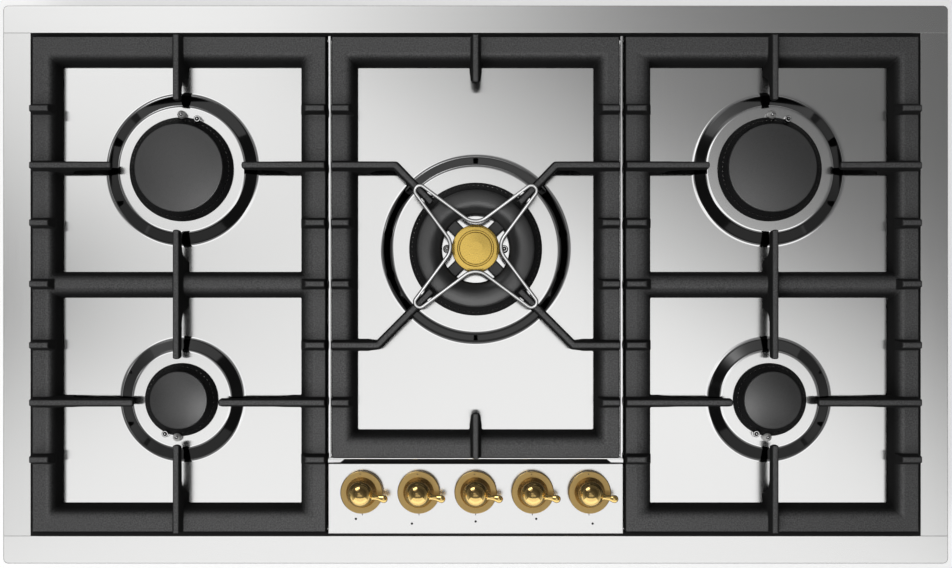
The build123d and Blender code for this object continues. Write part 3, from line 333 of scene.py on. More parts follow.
STEEL = (0.755, 0.755, 0.75)
M = {
    "rail_x": steel("steel_brushed_x", STEEL, 0.17, "x", 0.022),
    # the rails along y take a slightly darker copy of the same steel: painted shade
    "rail_y": steel("steel_brushed_y", (0.705, 0.705, 0.70), 0.17, "y", 0.022),
    "pan": steel("steel_pan", STEEL, 0.11, "y", 0.010, 0.06, 0.03, 0.92, (1.0, 0.0, 0.0)),
    "flank": polished("steel_flank", (0.80, 0.80, 0.80), 0.045, 0.02),
    # a near-black copy of the same polished steel for the steep flank faces: painted shade for their dark reflections
    "flank_painted_dark": polished("steel_flank_painted_dark", (0.095, 0.095, 0.095), 0.05, 0.03),
    "bright": polished("steel_polished", (0.82, 0.82, 0.82), 0.08),
    # the star wire has painted shade: a near-black tint on its sideways faces
    "wire": polished("steel_wire", (0.90, 0.90, 0.90), 0.08, 0.03, (0.05, 0.05, 0.05)),
    # grate enamel: painted shade makes the sideways faces 0.2 times as light as the tops
    "iron": cast("cast_enamel", (0.060, 0.060, 0.0608), 0.45, 1.4, 0.00030, 0.55, 0.6, 0.3, 0.20, 0.48),
    "cap": cast("cap_enamel", (0.028, 0.028, 0.0283), 0.30, 0.8, 0.00003, 0.90, 0.4, 0.1),
    "bridge": cast("bridge_enamel", (0.040, 0.040, 0.0404), 0.42, 0.9, 0.00006, 0.6, 0.4, 0.1),
    "crown": cast("crown_dark", (0.012, 0.012, 0.0125), 0.55, 0.9, 0.00008, 0.22, 0.5, 0.0),
    "port": polished("port_metal", (0.34, 0.33, 0.32), 0.22, 0.08),
    # near-black for port bores, sensor cups and a ring at the foot of the middle electrodes: painted shade in these
    # recesses, partly soot
    "soot_and_shade": cast("port_dark", (0.006, 0.006, 0.006), 0.7, 0.8, 0.00004, 0.1, 0.3, 0.0),
    "alu": aluminium("cast_aluminium"),
    "brass_cap": brass_mat("brass_satin", (0.86, 0.60, 0.15), (0.72, 0.49, 0.115), 0.19, 0.05, 1.0, 1100.0, 0.00003),
    # the polished ball carries a painted dark reflection on its upper, rear-facing half
    "brass_ball": brass_mat("brass_polished", (0.90, 0.64, 0.24), (0.84, 0.58, 0.20), 0.06, 0.0, 0.82, 700.0, 0.00003, (0.33, 0.225, 0.085)),
    "brass_lever": brass_mat("brass_lever", (0.90, 0.64, 0.24), (0.84, 0.58, 0.20), 0.07, 0.0, 0.9),
    "brass_ring": brass_mat("brass_matt_ring", (0.55, 0.38, 0.15), (0.46, 0.315, 0.12), 0.30, 0.05, 1.0, 1200.0, 0.00002),
    # darker copy of the brass for the dish under the ball and the index dot; in the dish it is painted shade
    "brass_dish_painted_shade": brass_mat("brass_dish_painted_shade", (0.34, 0.25, 0.125), (0.24, 0.17, 0.08), 0.24, 0.03, 0.85, 900.0, 0.00002),
    "brass_valve": brass_mat("brass_machined", (0.60, 0.44, 0.19), (0.48, 0.34, 0.14), 0.28, 0.08),
    "zinc": polished("zinc_plated", (0.55, 0.56, 0.58), 0.26, 0.1),
    "galv": galvanised("galvanised_sheet"),
    "ceramic": ceramic("glazed_ceramic"),
    "rubber": rubber("black_rubber"),
    "bezel": plastic("bezel_black", (0.02, 0.02, 0.02)),
    "module": plastic("module_plastic", (0.70, 0.70, 0.67)),
    "mark": marking("panel_marking"),
}


# ================================================================ mesh building
def rounded(points, closed=True, step=15.0):
    """Profile points (r, z) or (r, z, radius): each corner with a radius becomes an arc."""
    out = []
    n = len(points)
    for i, p in enumerate(points):
        R = p[2] if len(p) > 2 else 0.0
        if R <= 0 or (not closed and i in (0, n - 1)):
            out.append((p[0], p[1]))
            continue
        a, b = points[i - 1], points[(i + 1) % n]
        ux, uz = a[0] - p[0], a[1] - p[1]
        vx, vz = b[0] - p[0], b[1] - p[1]
        la, lb = hypot(ux, uz), hypot(vx, vz)
        ux, uz, vx, vz = ux / la, uz / la, vx / lb, vz / lb
        ang = atan2(ux * vz - uz * vx, ux * vx + uz * vz)
        turn = pi - abs(ang)
        if turn < 0.01:
            out.append((p[0], p[1]))
            continue
        t = min(R * tan(turn / 2), 0.49 * la, 0.49 * lb)
        R = t / tan(turn / 2)
        cx, cz = ux + vx, uz + vz
        lc = hypot(cx, cz)
        d = R / cos(turn / 2)
        cx, cz = p[0] + cx / lc * d, p[1] + cz / lc * d
        a0 = atan2(p[1] + uz * t - cz, p[0] + ux * t - cx)
        a1 = atan2(p[1] + vz * t - cz, p[0] + vx * t - cx)
        da = (a1 - a0 + pi) % (2 * pi) - pi
        k = max(2, int(ceil(degrees(abs(da)) / step)))
        for j in range(k + 1):
            q = a0 + da * j / k
            out.append((cx + R * cos(q), cz + R * sin(q)))
    return out


class Builder:
    def __init__(self):
        self.v, self.f, self.m = [], [], []

    def add(self, verts, faces, mat=0, at=None):
        k = len(self.v)
        for p in verts:
            q = Vector(p)
            if at is not None:
                q = at @ q
            self.v.append((q.x * MM, q.y * MM, q.z * MM))
        for i, f in enumerate(faces):
            self.f.append([k + a for a in f])
            self.m.append(mat[i] if isinstance(mat, list) else mat)

    def lathe(self, prof, x=0.0, y=0.0, seg=96, mat=0, closed=True, at=None, start=0.0):
        """Solid of revolution about the vertical axis at x, y. mat can give one index for each profile edge."""
        rings, verts = [], []
        for r, z in prof:
            if r < 1e-6:
                rings.append([len(verts)] * seg)
                verts.append((x, y, z))
            else:
                rings.append(list(range(len(verts), len(verts) + seg)))
                for j in range(seg):
                    a = start + 2 * pi * j / seg
                    verts.append((x + r * cos(a), y + r * sin(a), z))
        faces, mats = [], []
        n = len(prof)
        for i in range(n if closed else n - 1):
            p, q = rings[i], rings[(i + 1) % n]
            mi = mat[i] if isinstance(mat, list) else mat
            for j in range(seg):
                j2 = (j + 1) % seg
                f = []
                for a in (p[j], p[j2], q[j2], q[j]):
                    if not f or (a != f[-1] and a != f[0]):
                        f.append(a)
                if len(f) >= 3:
                    faces.append(f)
                    mats.append(mi)
        self.add(verts, faces, mats, at)

    def tube(self, path, radius, seg=16, mat=0, closed=False, cap=True):
        """A tube along points, with rotation-minimising rings."""
        pts = [Vector(p) for p in path]
        n = len(pts)
        tang = []
        for i in range(n):
            a = pts[i - 1] if (i > 0 or closed) else pts[i]
            b = pts[(i + 1) % n] if (i < n - 1 or closed) else pts[i]
            tang.append((b - a).normalized())
        up = Vector((0, 0, 1)) if abs(tang[0].z) < 0.9 else Vector((1, 0, 0))
        side = tang[0].cross(up).normalized()
        verts, rings = [], []
        for i in range(n):
            side = (side - tang[i] * side.dot(tang[i])).normalized()
            other = tang[i].cross(side)
            r = radius[i] if isinstance(radius, list) else radius
            rings.append(list(range(len(verts), len(verts) + seg)))
            for j in range(seg):
                a = 2 * pi * j / seg
                verts.append(tuple(pts[i] + (side * cos(a) + other * sin(a)) * r))
        faces = []
        for i in range(n if closed else n - 1):
            p, q = rings[i], rings[(i + 1) % n]
            for j in range(seg):
                faces.append([p[j], p[(j + 1) % seg], q[(j + 1) % seg], q[j]])
        if not closed and cap:
            faces.append(rings[0][::-1])
            faces.append(rings[-1][:])
        self.add(verts, faces, mat)

    def slab(self, loops, z0, z1, mat=0, grid=None):
        """A flat plate between two heights: the first loop is its outline, the rest are holes."""
        tri_v, tris = plan_fill(loops)
        k = len(tri_v)
        verts = [(a, b, z1) for a, b in tri_v] + [(a, b, z0) for a, b in tri_v]
        faces = [list(t) for t in tris] + [[k + a for a in reversed(t)] for t in tris]
        used = {}
        for t in tris:
            for a, b in zip(t, t[1:] + t[:1]):
                used[(a, b)] = True
        for a, b in list(used):
            if (b, a) not in used:
                faces.append([b, a, k + a, k + b])
        self.add(verts, faces, mat)

    def make(self, name, body, slot, mats, replaces=(), sharp=32.0, weighted=True, fix=True):
        me = bpy.data.meshes.new(name)
        bm = bmesh.new()
        vs = [bm.verts.new(p) for p in self.v]
        bm.verts.ensure_lookup_table()
        for f, mi in zip(self.f, self.m):
            try:
                face = bm.faces.new([vs[a] for a in f])
                face.material_index = mi
                face.smooth = True
            except ValueError:
                pass
        bmesh.ops.remove_doubles(bm, verts=bm.verts, dist=2e-7)
        if fix:
            bmesh.ops.recalc_face_normals(bm, faces=bm.faces)
        bm.to_mesh(me)
        bm.free()
        return finish_piece(name, me, body, mats, replaces, sharp, weighted)


def finish_piece(name, me, body, mats, replaces=(), sharp=32.0, weighted=True):
    ob = bpy.data.objects.new(name, me)
    bpy.context.scene.collection.objects.link(ob)
    for m in mats:
        me.materials.append(M[m])
    if sharp:
        me.set_sharp_from_angle(angle=radians(sharp))
    if weighted:
        w = ob.modifiers.new("weighted", "WEIGHTED_NORMAL")
        w.keep_sharp = True
        w.weight = 50
    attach(ob, body)
    if replaces:
        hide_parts(*replaces)
    return ob


def circle(x, y, r, n, start=0.0):
    return [(x + r * cos(start + 2 * pi * k / n), y + r * sin(start + 2 * pi * k / n)) for k in range(n)]


def inside(p, loop):
    hit = False
    n = len(loop)
    for i in range(n):
        (x0, y0), (x1, y1) = loop[i], loop[(i + 1) % n]
        if (y0 > p[1]) != (y1 > p[1]) and p[0] < (x1 - x0) * (p[1] - y0) / (y1 - y0) + x0:
            hit = not hit
    return hit


def plan_fill(loops, extra=()):
    """Triangles that fill the first loop outside the other loops, counter-clockwise."""
    pts, edges = [], []
    for loop in loops:
        k = len(pts)
        n = len(loop)
        pts += [Vector(p) for p in loop]
        edges += [(k + i, k + (i + 1) % n) for i in range(n)]
    pts += [Vector(p) for p in extra]
    v, _, f, _, _, _ = delaunay_2d_cdt(pts, edges, [], 0, 1e-5)
    tris = []
    for t in f:
        c = (sum(v[a].x for a in t) / len(t), sum(v[a].y for a in t) / len(t))
        if inside(c, loops[0]) and not any(inside(c, h) for h in loops[1:]):
            t = list(t)
            a, b, d = v[t[0]], v[t[1]], v[t[2]]
            if (b.x - a.x) * (d.y - a.y) - (b.y - a.y) * (d.x - a.x) < 0:
                t.reverse()
            tris.append(t)
    return [(p.x, p.y) for p in v], tris


def clean_copy(node):
    """The node's shape as clean flat faces, in millimetres-free metres, ready for bevels."""
    me = bpy.data.meshes.new(node + "_shape")
    bm = bmesh.new()
    bm.from_mesh(nodes[node].data)
    bmesh.ops.remove_doubles(bm, verts=bm.verts, dist=2e-6)
    bmesh.ops.dissolve_degenerate(bm, edges=bm.edges, dist=1e-7)
    bmesh.ops.dissolve_limit(bm, angle_limit=radians(0.6), verts=bm.verts, edges=bm.edges, delimit={"NORMAL"})
    for f in bm.faces:
        f.smooth = True
        f.material_index = 0
    bm.to_mesh(me)
    bm.free()
    for a in ("custom_normal", "sharp_edge"):
        if a in me.attributes:
            me.attributes.remove(me.attributes[a])
    me.materials.clear()
    return me


def bevelled(node, body, mats, width, segments=3, name=None, angle=30.0, sharp=32.0):
    me = clean_copy(node)
    ob = bpy.data.objects.new(name or node + "_shell", me)
    bpy.context.scene.collection.objects.link(ob)
    for m in mats:
        me.materials.append(M[m])
    b = ob.modifiers.new("edges", "BEVEL")
    b.width = width * MM
    b.segments = segments
    b.limit_method = "ANGLE"
    b.angle_limit = radians(angle)
    b.use_clamp_overlap = True
    b.miter_outer = "MITER_ARC"
    w = ob.modifiers.new("weighted", "WEIGHTED_NORMAL")
    w.keep_sharp = False
    w.weight = 50
    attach(ob, body)
    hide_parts(node)
    return ob


# ================================================================ frame rails, strips and control panel
bevelled("front_rail", "hob", ["rail_x"], 0.30, 2)
bevelled("rear_rail", "hob", ["rail_x"], 0.30, 2)
bevelled("left_rail", "hob", ["rail_y"], 0.30, 2)
bevelled("right_rail", "hob", ["rail_y"], 0.30, 2)
bevelled("pan_dividers", "hob", ["bright"], 0.35, 2)
bevelled("pan_front_lip", "hob", ["bright"], 0.3, 2)


# ================================================================ hob pan
def hob_pan():
    b = Builder()
    outline = [(-432, -244.8), (432, -244.8), (432, 244.8), (-432, 244.8)]
    # extra points along the outline keep the big triangles from getting too long
    dense = []
    for i, (x0, y0) in enumerate(outline):
        x1, y1 = outline[(i + 1) % 4]
        k = 12
        dense += [(x0 + (x1 - x0) * j / k, y0 + (y1 - y0) * j / k) for j in range(k)]
    holes, seats = [], []
    for name, x, y, d, spark, sensor in BURNERS:
        n = d["seg"]
        outer, top = d["flank"] - (1.0 if d is SMALL else 0.3), d["seat"] + (1.2 if d is SMALL else 1.6)
        prof = rounded([(d["flank"] + 6, Z_PAN), (outer, Z_PAN, 9.0), (top, Z_PLATEAU, 8.0), (d["seat"] - 6, Z_PLATEAU)],
                       closed=False, step=2.4)[1:-1]
        holes.append(circle(x, y, prof[0][0], n))
        seats.append((name, x, y, d, n, prof, spark, sensor))
    spindles = [circle(x, KNOB_Y, 7.5, 32) for x in KNOB_X]
    v, t = plan_fill([dense] + holes + spindles)
    b.add([(a, c, Z_PAN) for a, c in v], t, 0)
    for name, x, y, d, n, prof, spark, sensor in seats:
        k = len(prof)
        mats = []
        for i in range(k - 1):
            flat_part = abs(prof[i + 1][1] - prof[i][1]) / max(1e-9, hypot(prof[i + 1][0] - prof[i][0], prof[i + 1][1] - prof[i][1]))
            # steep parts of each flank take the near-black copy (painted shade), the rounded bends the bright one
            mats.append(2 if flat_part > 0.33 else 1)
        b.lathe(prof, x, y, n, mats, closed=False)
        loops = [circle(x, y, prof[-1][0], n), circle(x, y, d["hole"], 96)]
        if name != "centre":
            loops += [circle(x + spark[0], y + spark[1], SPARK_R + 0.4, 32), circle(x + sensor[0], y + sensor[1], SENSOR_R + 0.4, 32)]
        r = (d["hole"] + d["crown"]) / 2
        loops += [circle(x + s * r, y, 2.1, 16) for s in (-1, 1)]
        v, t = plan_fill(loops)
        b.add([(a, c, Z_PLATEAU) for a, c in v], t, 0)
    # sheet thickness
    bm = bmesh.new()
    vs = [bm.verts.new(p) for p in b.v]
    for f, mi in zip(b.f, b.m):
        try:
            face = bm.faces.new([vs[a] for a in f])
            face.material_index = mi
            face.smooth = True
        except ValueError:
            pass
    bmesh.ops.remove_doubles(bm, verts=bm.verts, dist=2e-6)
    bmesh.ops.recalc_face_normals(bm, faces=bm.faces)
    if sum(f.normal.z * f.calc_area() for f in bm.faces) < 0:
        bmesh.ops.reverse_faces(bm, faces=bm.faces)
    low = {}
    for p in list(bm.verts):
        low[p] = bm.verts.new((p.co.x, p.co.y, p.co.z - T_PAN * MM))
    top_faces = list(bm.faces)
    rim = [(e.link_loops[0].vert, e.link_loops[0].link_loop_next.vert) for e in bm.edges if len(e.link_faces) == 1]
    for f in top_faces:
        g = bm.faces.new([low[p] for p in reversed(f.verts)])
        g.material_index = f.material_index
        g.smooth = True
    for a, c in rim:
        g = bm.faces.new([c, a, low[a], low[c]])
        g.smooth = True
    me = bpy.data.meshes.new("pressed_pan")
    bm.to_mesh(me)
    bm.free()
    return finish_piece("pressed_pan", me, "hob", ["pan", "flank", "flank_painted_dark"], ["hob_pan"], 40.0)


hob_pan()


# ================================================================ caps and crowns of the side burners
def side_cap(name, x, y, d):
    c, cav = d["cap"], d["cavity"]
    z0 = Z_CROWN_TOP
    b = Builder()
    prof = rounded([(0, z0), (cav - 3.0, z0), (cav - 3.0, z0 - 3.5, 0.4), (cav - 0.6, z0 - 3.5, 0.4), (cav - 0.6, z0), (c - 0.4, z0, 0.4),
                    (c, z0 + 0.9, 0.6), (c, z0 + 4.35, 0.8), (c * 0.93, z0 + 4.58)], closed=True, step=8)
    prof += [(c * f, z0 + 4.3 + 1.9 * (1 - f * f)) for f in [0.9 - 0.06 * i for i in range(15)]] + [(0, z0 + 6.2)]
    b.lathe(prof, x, y, d["seg"])
    b.make("enamel_cap_" + name, "cap_" + name, "black_enamel", ["cap"], ["cap_" + name])


def port_ring(b, x, y, r0, z0, r1, z1, r_in, n, hole_r, phase=0.0, mats=(0, 1, 2), depth=2.2, per=8, tilt_ref=None):
    """The sloped wall of a crown between (r0, z0) and (r1, z1), with n countersunk round ports at radius r_in."""
    L = hypot(r1 - r0, z1 - z0)
    ux, uz = (r1 - r0) / L, (z1 - z0) / L
    s_mid = (r_in - r0) / (r1 - r0) * L
    nx, nz = uz, -ux        # outward normal for a wall that leans in as it rises
    if nz < 0:
        nx, nz = -nx, -nz
    rows = [0.0, s_mid - hole_r * 1.9, s_mid + hole_r * 1.9, L]
    cell = 2 * pi / n
    verts, faces, mt = [], [], []

    def point(a, s, dz=0.0):
        r = r0 + ux * s + nx * dz
        z = z0 + uz * s + nz * dz
        return (x + r * cos(a), y + r * sin(a), z)

    for k in range(n):
        a0 = phase + k * cell
        am = a0 + cell / 2
        base = len(verts)
        # lower and upper bands share the cell's corners and mid points
        for s in (rows[0], rows[1], rows[2], rows[3]):
            for a in (a0, am, a0 + cell):
                verts.append(point(a, s))
        # 0-2 row0, 3-5 row1, 6-8 row2, 9-11 row3
        for i, j in ((0, 1), (1, 2)):
            faces.append([base + i, base + j, base + 3 + j, base + 3 + i]); mt.append(mats[0])
            faces.append([base + 6 + i, base + 6 + j, base + 9 + j, base + 9 + i]); mt.append(mats[0])
        mid_l = len(verts); verts.append(point(a0, s_mid))
        mid_r = len(verts); verts.append(point(a0 + cell, s_mid))
        ring_out, ring_in, ring_deep = [], [], []
        rr = r0 + ux * s_mid
        for q in range(8):
            th = 2 * pi * q / 8
            for lst, rad, dep in ((ring_out, hole_r * 1.38, 0.0), (ring_in, hole_r, -hole_r * 0.38), (ring_deep, hole_r * 0.96, -depth)):
                lst.append(len(verts))
                verts.append(point(am + rad * cos(th) / rr, s_mid + rad * sin(th), dep))
        frame_idx = [mid_r, base + 8, base + 7, base + 6, mid_l, base + 3, base + 4, base + 5]
        for q in range(8):
            q2 = (q + 1) % 8
            faces.append([frame_idx[q], frame_idx[q2], ring_out[q2], ring_out[q]]); mt.append(mats[0])
            faces.append([ring_out[q], ring_out[q2], ring_in[q2], ring_in[q]]); mt.append(mats[1])
            # the bore walls and floor take mats[2], near-black: painted shade in the bore
            faces.append([ring_in[q], ring_in[q2], ring_deep[q2], ring_deep[q]]); mt.append(mats[2])
        faces.append(ring_deep[:]); mt.append(mats[2])
    b.add(verts, faces, mt)
    return [(r0, z0), (r1, z1)]


def crown_shell(b, x, y, outline_after, r0, z0, r1, z1, d, n, r_in, hole_r):
    """Closed crown: port wall plus the lathed rest of the section, from the wall's top round to its foot."""
    seg = n * 2
    port_ring(b, x, y, r0, z0, r1, z1, r_in, n, hole_r)
    b.lathe(outline_after, x, y, seg, 0, closed=False)


def side_crown(name, x, y, d):
    r, c, cav = d["crown"], d["cap"], d["cavity"]
    pot_in = d["pot"] - 4.0
    b = Builder()
    z0, zt = Z_CROWN + 1.5, Z_CROWN_TOP
    r1 = c + 1.0
    r_in = d["port_r"]
    hole = 0.8
    port_ring(b, x, y, r, z0, r1, zt - 0.4, r_in, d["ports"], hole)
    rest = [(r1, zt - 0.4)] + rounded([(r1, zt - 0.4), (c + 0.7, zt, 0.25), (cav, zt, 0.3), (cav, 67.0, 0.8), (15.0, 67.0, 0.8), (15.0, 71.0, 0.5),
                                       (11.0, 71.0, 0.5), (11.0, 58.0), (13.5, 58.0), (13.5, Z_CROWN), (pot_in - 2.6, Z_CROWN), (pot_in - 2.6, 57.0),
                                       (pot_in - 0.5, 57.0), (pot_in - 0.5, Z_CROWN), (r - 0.4, Z_CROWN, 0.3), (r, z0)], closed=False, step=30)[1:]
    b.lathe(rest, x, y, d["ports"] * 2, 0, closed=False)
    ob = b.make("flame_crown_" + name, "crown_" + name, "dark_crown", ["crown", "port", "soot_and_shade"], ["crown_" + name])
    return ob


for name, x, y, d, spark, sensor in BURNERS[:4]:
    side_cap(name, x, y, d)
    side_crown(name, x, y, d)


# ================================================================ middle burner
def centre_crown():
    b = Builder()
    n = CENTRE["ports"]
    r0, z0, r1, z1 = 64.5, Z_CROWN + 1.4, 57.6, Z_CROWN_TOP - 0.3
    port_ring(b, CX, CY, r0, z0, r1, z1, CENTRE["port_r"], n, 0.8)
    rest = [(r1, z1)] + rounded([(r1, z1), (57.2, Z_CROWN_TOP, 0.2), (51.0, Z_CROWN_TOP, 0.3), (51.0, 67.0, 0.8), (39.0, 67.0, 0.8), (39.0, Z_CROWN_TOP, 0.3),
                                 (32.9, Z_CROWN_TOP, 0.6), (32.6, Z_CROWN, 0.6), (45.0, Z_CROWN), (45.0, 57.0), (47.1, 57.0), (47.1, Z_CROWN),
                                 (64.1, Z_CROWN, 0.3), (r0, z0)], closed=False, step=30)[1:]
    b.lathe(rest, CX, CY, n * 2, 0, closed=False)
    # inner burner with its own ports
    port_ring(b, CX, CY, 21.0, Z_CROWN + 1.0, 19.8, Z_CROWN_TOP + 0.9, 20.2, 24, 0.7)
    rest = [(19.8, Z_CROWN_TOP + 0.9)] + rounded([(19.8, Z_CROWN_TOP + 0.9), (19.5, Z_CROWN_TOP + 1.4, 0.2), (16.0, Z_CROWN_TOP + 1.4, 0.2), (16.0, 67.0), (10.0, 67.0),
                                                  (10.0, 57.0), (14.0, 57.0), (14.0, Z_CROWN), (20.6, Z_CROWN, 0.3), (21.0, Z_CROWN + 1.0)], closed=False, step=30)[1:]
    b.lathe(rest, CX, CY, 48, 0, closed=False)
    # four bridges with rounded upper edges
    for a in (45, 135, 225, 315):
        m = Matrix.Translation((CX, CY, 0)) @ Matrix.Rotation(radians(a), 4, "Z")
        sec = rounded([(-6.0, Z_CROWN), (6.0, Z_CROWN), (6.0, 73.5, 1.6), (-6.0, 73.5, 1.6)], True, 20)
        k = len(sec)
        verts = [(19.2, w, z) for w, z in sec] + [(34.2, w, z) for w, z in sec]
        faces = [[i, (i + 1) % k, k + (i + 1) % k, k + i] for i in range(k)] + [list(range(k))[::-1], list(range(k, 2 * k))]
        b.add(verts, faces, 3, m)
    b.make("flame_crown_centre", "crown_centre", "dark_crown", ["crown", "port", "soot_and_shade", "bridge"], ["crown_centre"])


centre_crown()


def ring_cap():
    ro, ri = CENTRE["ring_out"], CENTRE["ring_in"]
    zt = Z_CROWN_TOP
    prof = rounded([(ri + 0.4, zt), (40.0, zt), (40.0, zt - 3), (42.0, zt - 3), (42.0, zt), (48.4, zt), (48.4, zt - 3), (50.4, zt - 3), (50.4, zt), (ro - 0.5, zt),
                    (ro, zt + 0.6, 0.5), (ro, zt + 4.9, 0.9), (ro - 1.2, zt + 5.27)], True, 6)
    crest = ro - 9.5
    prof += [(crest + f, zt + 6.0 - 0.95 * (f / 9.5) ** 2) for f in (7.6, 6.8, 6.0, 5.2, 4.4, 3.6, 2.8, 2.0, 1.2, 0.4)]
    prof += [(crest - 13.5 * f, zt + 6.0 - 4.4 * f ** 2.25) for f in [0.03 + 0.057 * i for i in range(17)]] + [(ri, zt + 0.8)]
    b = Builder()
    b.lathe(prof, CX, CY, 208)
    b.make("ring_cap", "ring_cap_centre", "black_enamel", ["cap"], ["ring_cap_centre"])


ring_cap()


def brass_cap():
    z0 = Z_CROWN_TOP + 1.4
    ic = CENTRE["inner_cap"] + 0.8
    prof = rounded([(0, z0), (13.0, z0), (13.0, z0 - 4.0), (15.4, z0 - 4.0), (15.4, z0), (ic - 0.4, z0, 0.4), (ic, z0 + 0.8, 0.6), (ic, z0 + 3.75, 0.7),
                    (ic - 2.4, z0 + 4.05, 3.0), (ic - 5.2, z0 + 4.15, 0.5), (ic - 5.9, z0 + 3.55, 0.35), (ic - 7.0, z0 + 3.55, 0.35), (ic - 7.7, z0 + 4.2, 0.5),
                    (6.5, z0 + 4.55, 20.0), (0, z0 + 4.62)], True, 12)
    b = Builder()
    b.lathe(prof, CX, CY, 144)
    b.make("brass_cap", "inner_cap_centre", "brass", ["brass_cap"], ["inner_cap_centre"])


brass_cap()


# ================================================================ burner cups under the pan
def cups():
    z_fl = Z_PLATEAU - T_PAN
    b = Builder()
    for name, x, y, d, spark, sensor in BURNERS[:4]:
        pot, fl = d["pot"], {"rear": 58.0, "fron": 44.6}[name[:4]]
        prof = rounded([(10.0, 22.0), (16.0, 22.0, 0.8), (16.0, 40.0, 2.0), (pot - 4, 44.0, 3.0), (pot, 48.0, 2.0), (pot, z_fl - 3.0, 1.0), (fl, z_fl - 3.0, 0.6),
                        (fl, z_fl - 0.02), (pot, z_fl - 0.02), (pot, Z_CROWN - 0.02), (pot - 4, Z_CROWN - 0.02), (pot - 4, 50.0, 2.0), (10.0, 46.0)], True, 20)
        b.lathe(prof, x, y, 96)
    b.make("side_cups", "hob", "cast_aluminium", ["alu"], ["side_burner_cups"])
    b = Builder()
    pot, fl = CENTRE["pot"], 77.0
    n_floor = 61.5
    prof = rounded([(10.0, 22.0), (16.0, 22.0, 0.8), (16.0, 40.0, 2.0), (pot - 4, 44.0, 3.0), (pot, 48.0, 2.0), (pot, z_fl - 3.0, 1.0), (fl, z_fl - 3.0, 0.6),
                    (fl, z_fl - 0.02), (pot, z_fl - 0.02), (pot, Z_CROWN - 0.02), (pot - 4, Z_CROWN - 0.02), (pot - 4, 50.0, 1.0), (38.0, 50.0, 1.0), (38.0, n_floor, 0.6),
                    (14.6, n_floor, 0.4), (14.6, 46.0), (10.0, 46.0)], True, 20)
    mats = []
    for i in range(len(prof)):
        p, q = prof[i], prof[(i + 1) % len(prof)]
        mats.append(1 if p[1] > 60.9 and q[1] > 60.9 and 14.5 < p[0] < 38.1 and 14.5 < q[0] < 38.1 else 0)
    b.lathe(prof, CX, CY, 128, mats)
    b.make("centre_cup", "hob", "cast_aluminium", ["alu", "bright"], ["centre_burner_cup"])


cups()


# ================================================================ electrodes and sensors
def ignition():
    b, p, t = Builder(), Builder(), Builder()
    low = Z_PLATEAU - T_PAN - 3.0
    for name, x, y, d, spark, sensor in BURNERS:
        sx, sy = x + spark[0], y + spark[1]
        top = 72.0
        z_base = 30.0 if name == "centre" else 44.0
        prof = [(1.2, z_base), (SPARK_R, z_base, 0.4)]
        if name != "centre":
            prof += [(SPARK_R, low - 2), (SPARK_R + 1.4, low - 2, 0.3), (SPARK_R + 1.4, low, 0.3), (SPARK_R, low)]
        prof += [(SPARK_R, top - 1.8, 0.5), (SPARK_R - 0.9, top - 0.7, 0.4), (SPARK_R - 1.3, top - 0.6, 0.2), (SPARK_R - 1.5, top, 0.3), (1.7, top, 0.2), (1.2, top - 0.4)]
        b.lathe(rounded(prof, True, 20), sx, sy, 40)
        pin = rounded([(0, z_base - 6), (1.1, z_base - 6), (1.1, top + 1.6), (1.55, top + 1.7, 0.1), (1.6, top + 2.6, 0.3), (0.5, top + 3.0), (0, top + 3.0)], True, 20)
        p.lathe(pin, sx, sy, 24)
        tx, ty = x + sensor[0], y + sensor[1]
        prof = rounded([(0, z_base - 4), (2.2, z_base - 4), (2.2, z_base + 2), (SENSOR_R, z_base + 2), (SENSOR_R, 72.6, 0.3), (SENSOR_R - 0.5, 73.2, 0.3),
                        (SENSOR_R - 1.25, 73.2, 0.2), (SENSOR_R - 1.35, 71.4, 0.2), (1.15, 71.3, 0.2), (1.1, 74.1, 0.3), (0.5, 74.4, 0.1), (0, 74.4)], True, 20)
        mats = []
        # the cup round each sensor pin is near-black: painted shade in the recess
        for i in range(len(prof)):
            q = prof[(i + 1) % len(prof)]
            mid_r = (prof[i][0] + q[0]) / 2
            mid_z = (prof[i][1] + q[1]) / 2
            mats.append(1 if 1.14 < mid_r < SENSOR_R - 1.28 and mid_z < 73.1 and mid_z > 71 else 0)
        t.lathe(prof, tx, ty, 40, mats)
        if name == "centre":
            # a thin near-black ring on the cup floor round each middle electrode: painted shade of the gap round it
            for rx, ry in ((sx, sy), (tx, ty)):
                t.lathe([(3.05, 61.52), (3.95, 61.52), (3.95, 61.64), (3.05, 61.64)], rx, ry, 48, 1)
    b.make("spark_ceramics", "hob", "ceramic_white", ["ceramic"], ["electrode_ceramics"])
    p.make("spark_pins", "hob", "zinc_steel", ["bright"], ["electrode_pins"])
    t.make("sensor_tips", "hob", "zinc_steel", ["bright", "soot_and_shade"], ["flame_sensors"])


ignition()


# ================================================================ cast grates
# drafted castings: how far in mm the walls and shoulders of the bars lie from plain ones, along x and along y
DRAFT = {
    "left_grate": ([(-426, 0), (-409.5, -2.4), (-394, -2.3), (-375, 0), (-168, 0), (-160.3, 3.2), (-146, 0)], [(-236, 0), (-221.5, -2.8), (-209.5, 0)]),
    "centre_grate": ([(-136.5, 0), (-122.3, -3.4), (-111, -2.4), (-95, 0), (95, 0), (110.5, 2.4), (122.3, 3.5), (136.5, 0)], [(-164.5, 0), (-150.5, -3.0), (-140.4, 0)]),
    "right_grate": ([(145, 0), (159.5, -4.3), (166.5, 0.5), (175, 0), (378, 0), (394, 1.4), (409, 1.6), (425, 0)], [(-236, 0), (-221.5, -2.8), (-209.5, 0)]),
}


def shifted(v, table):
    for (a, da), (b, db) in zip(table, table[1:]):
        if a <= v <= b:
            return v + da + (db - da) * (v - a) / (b - a)
    return v


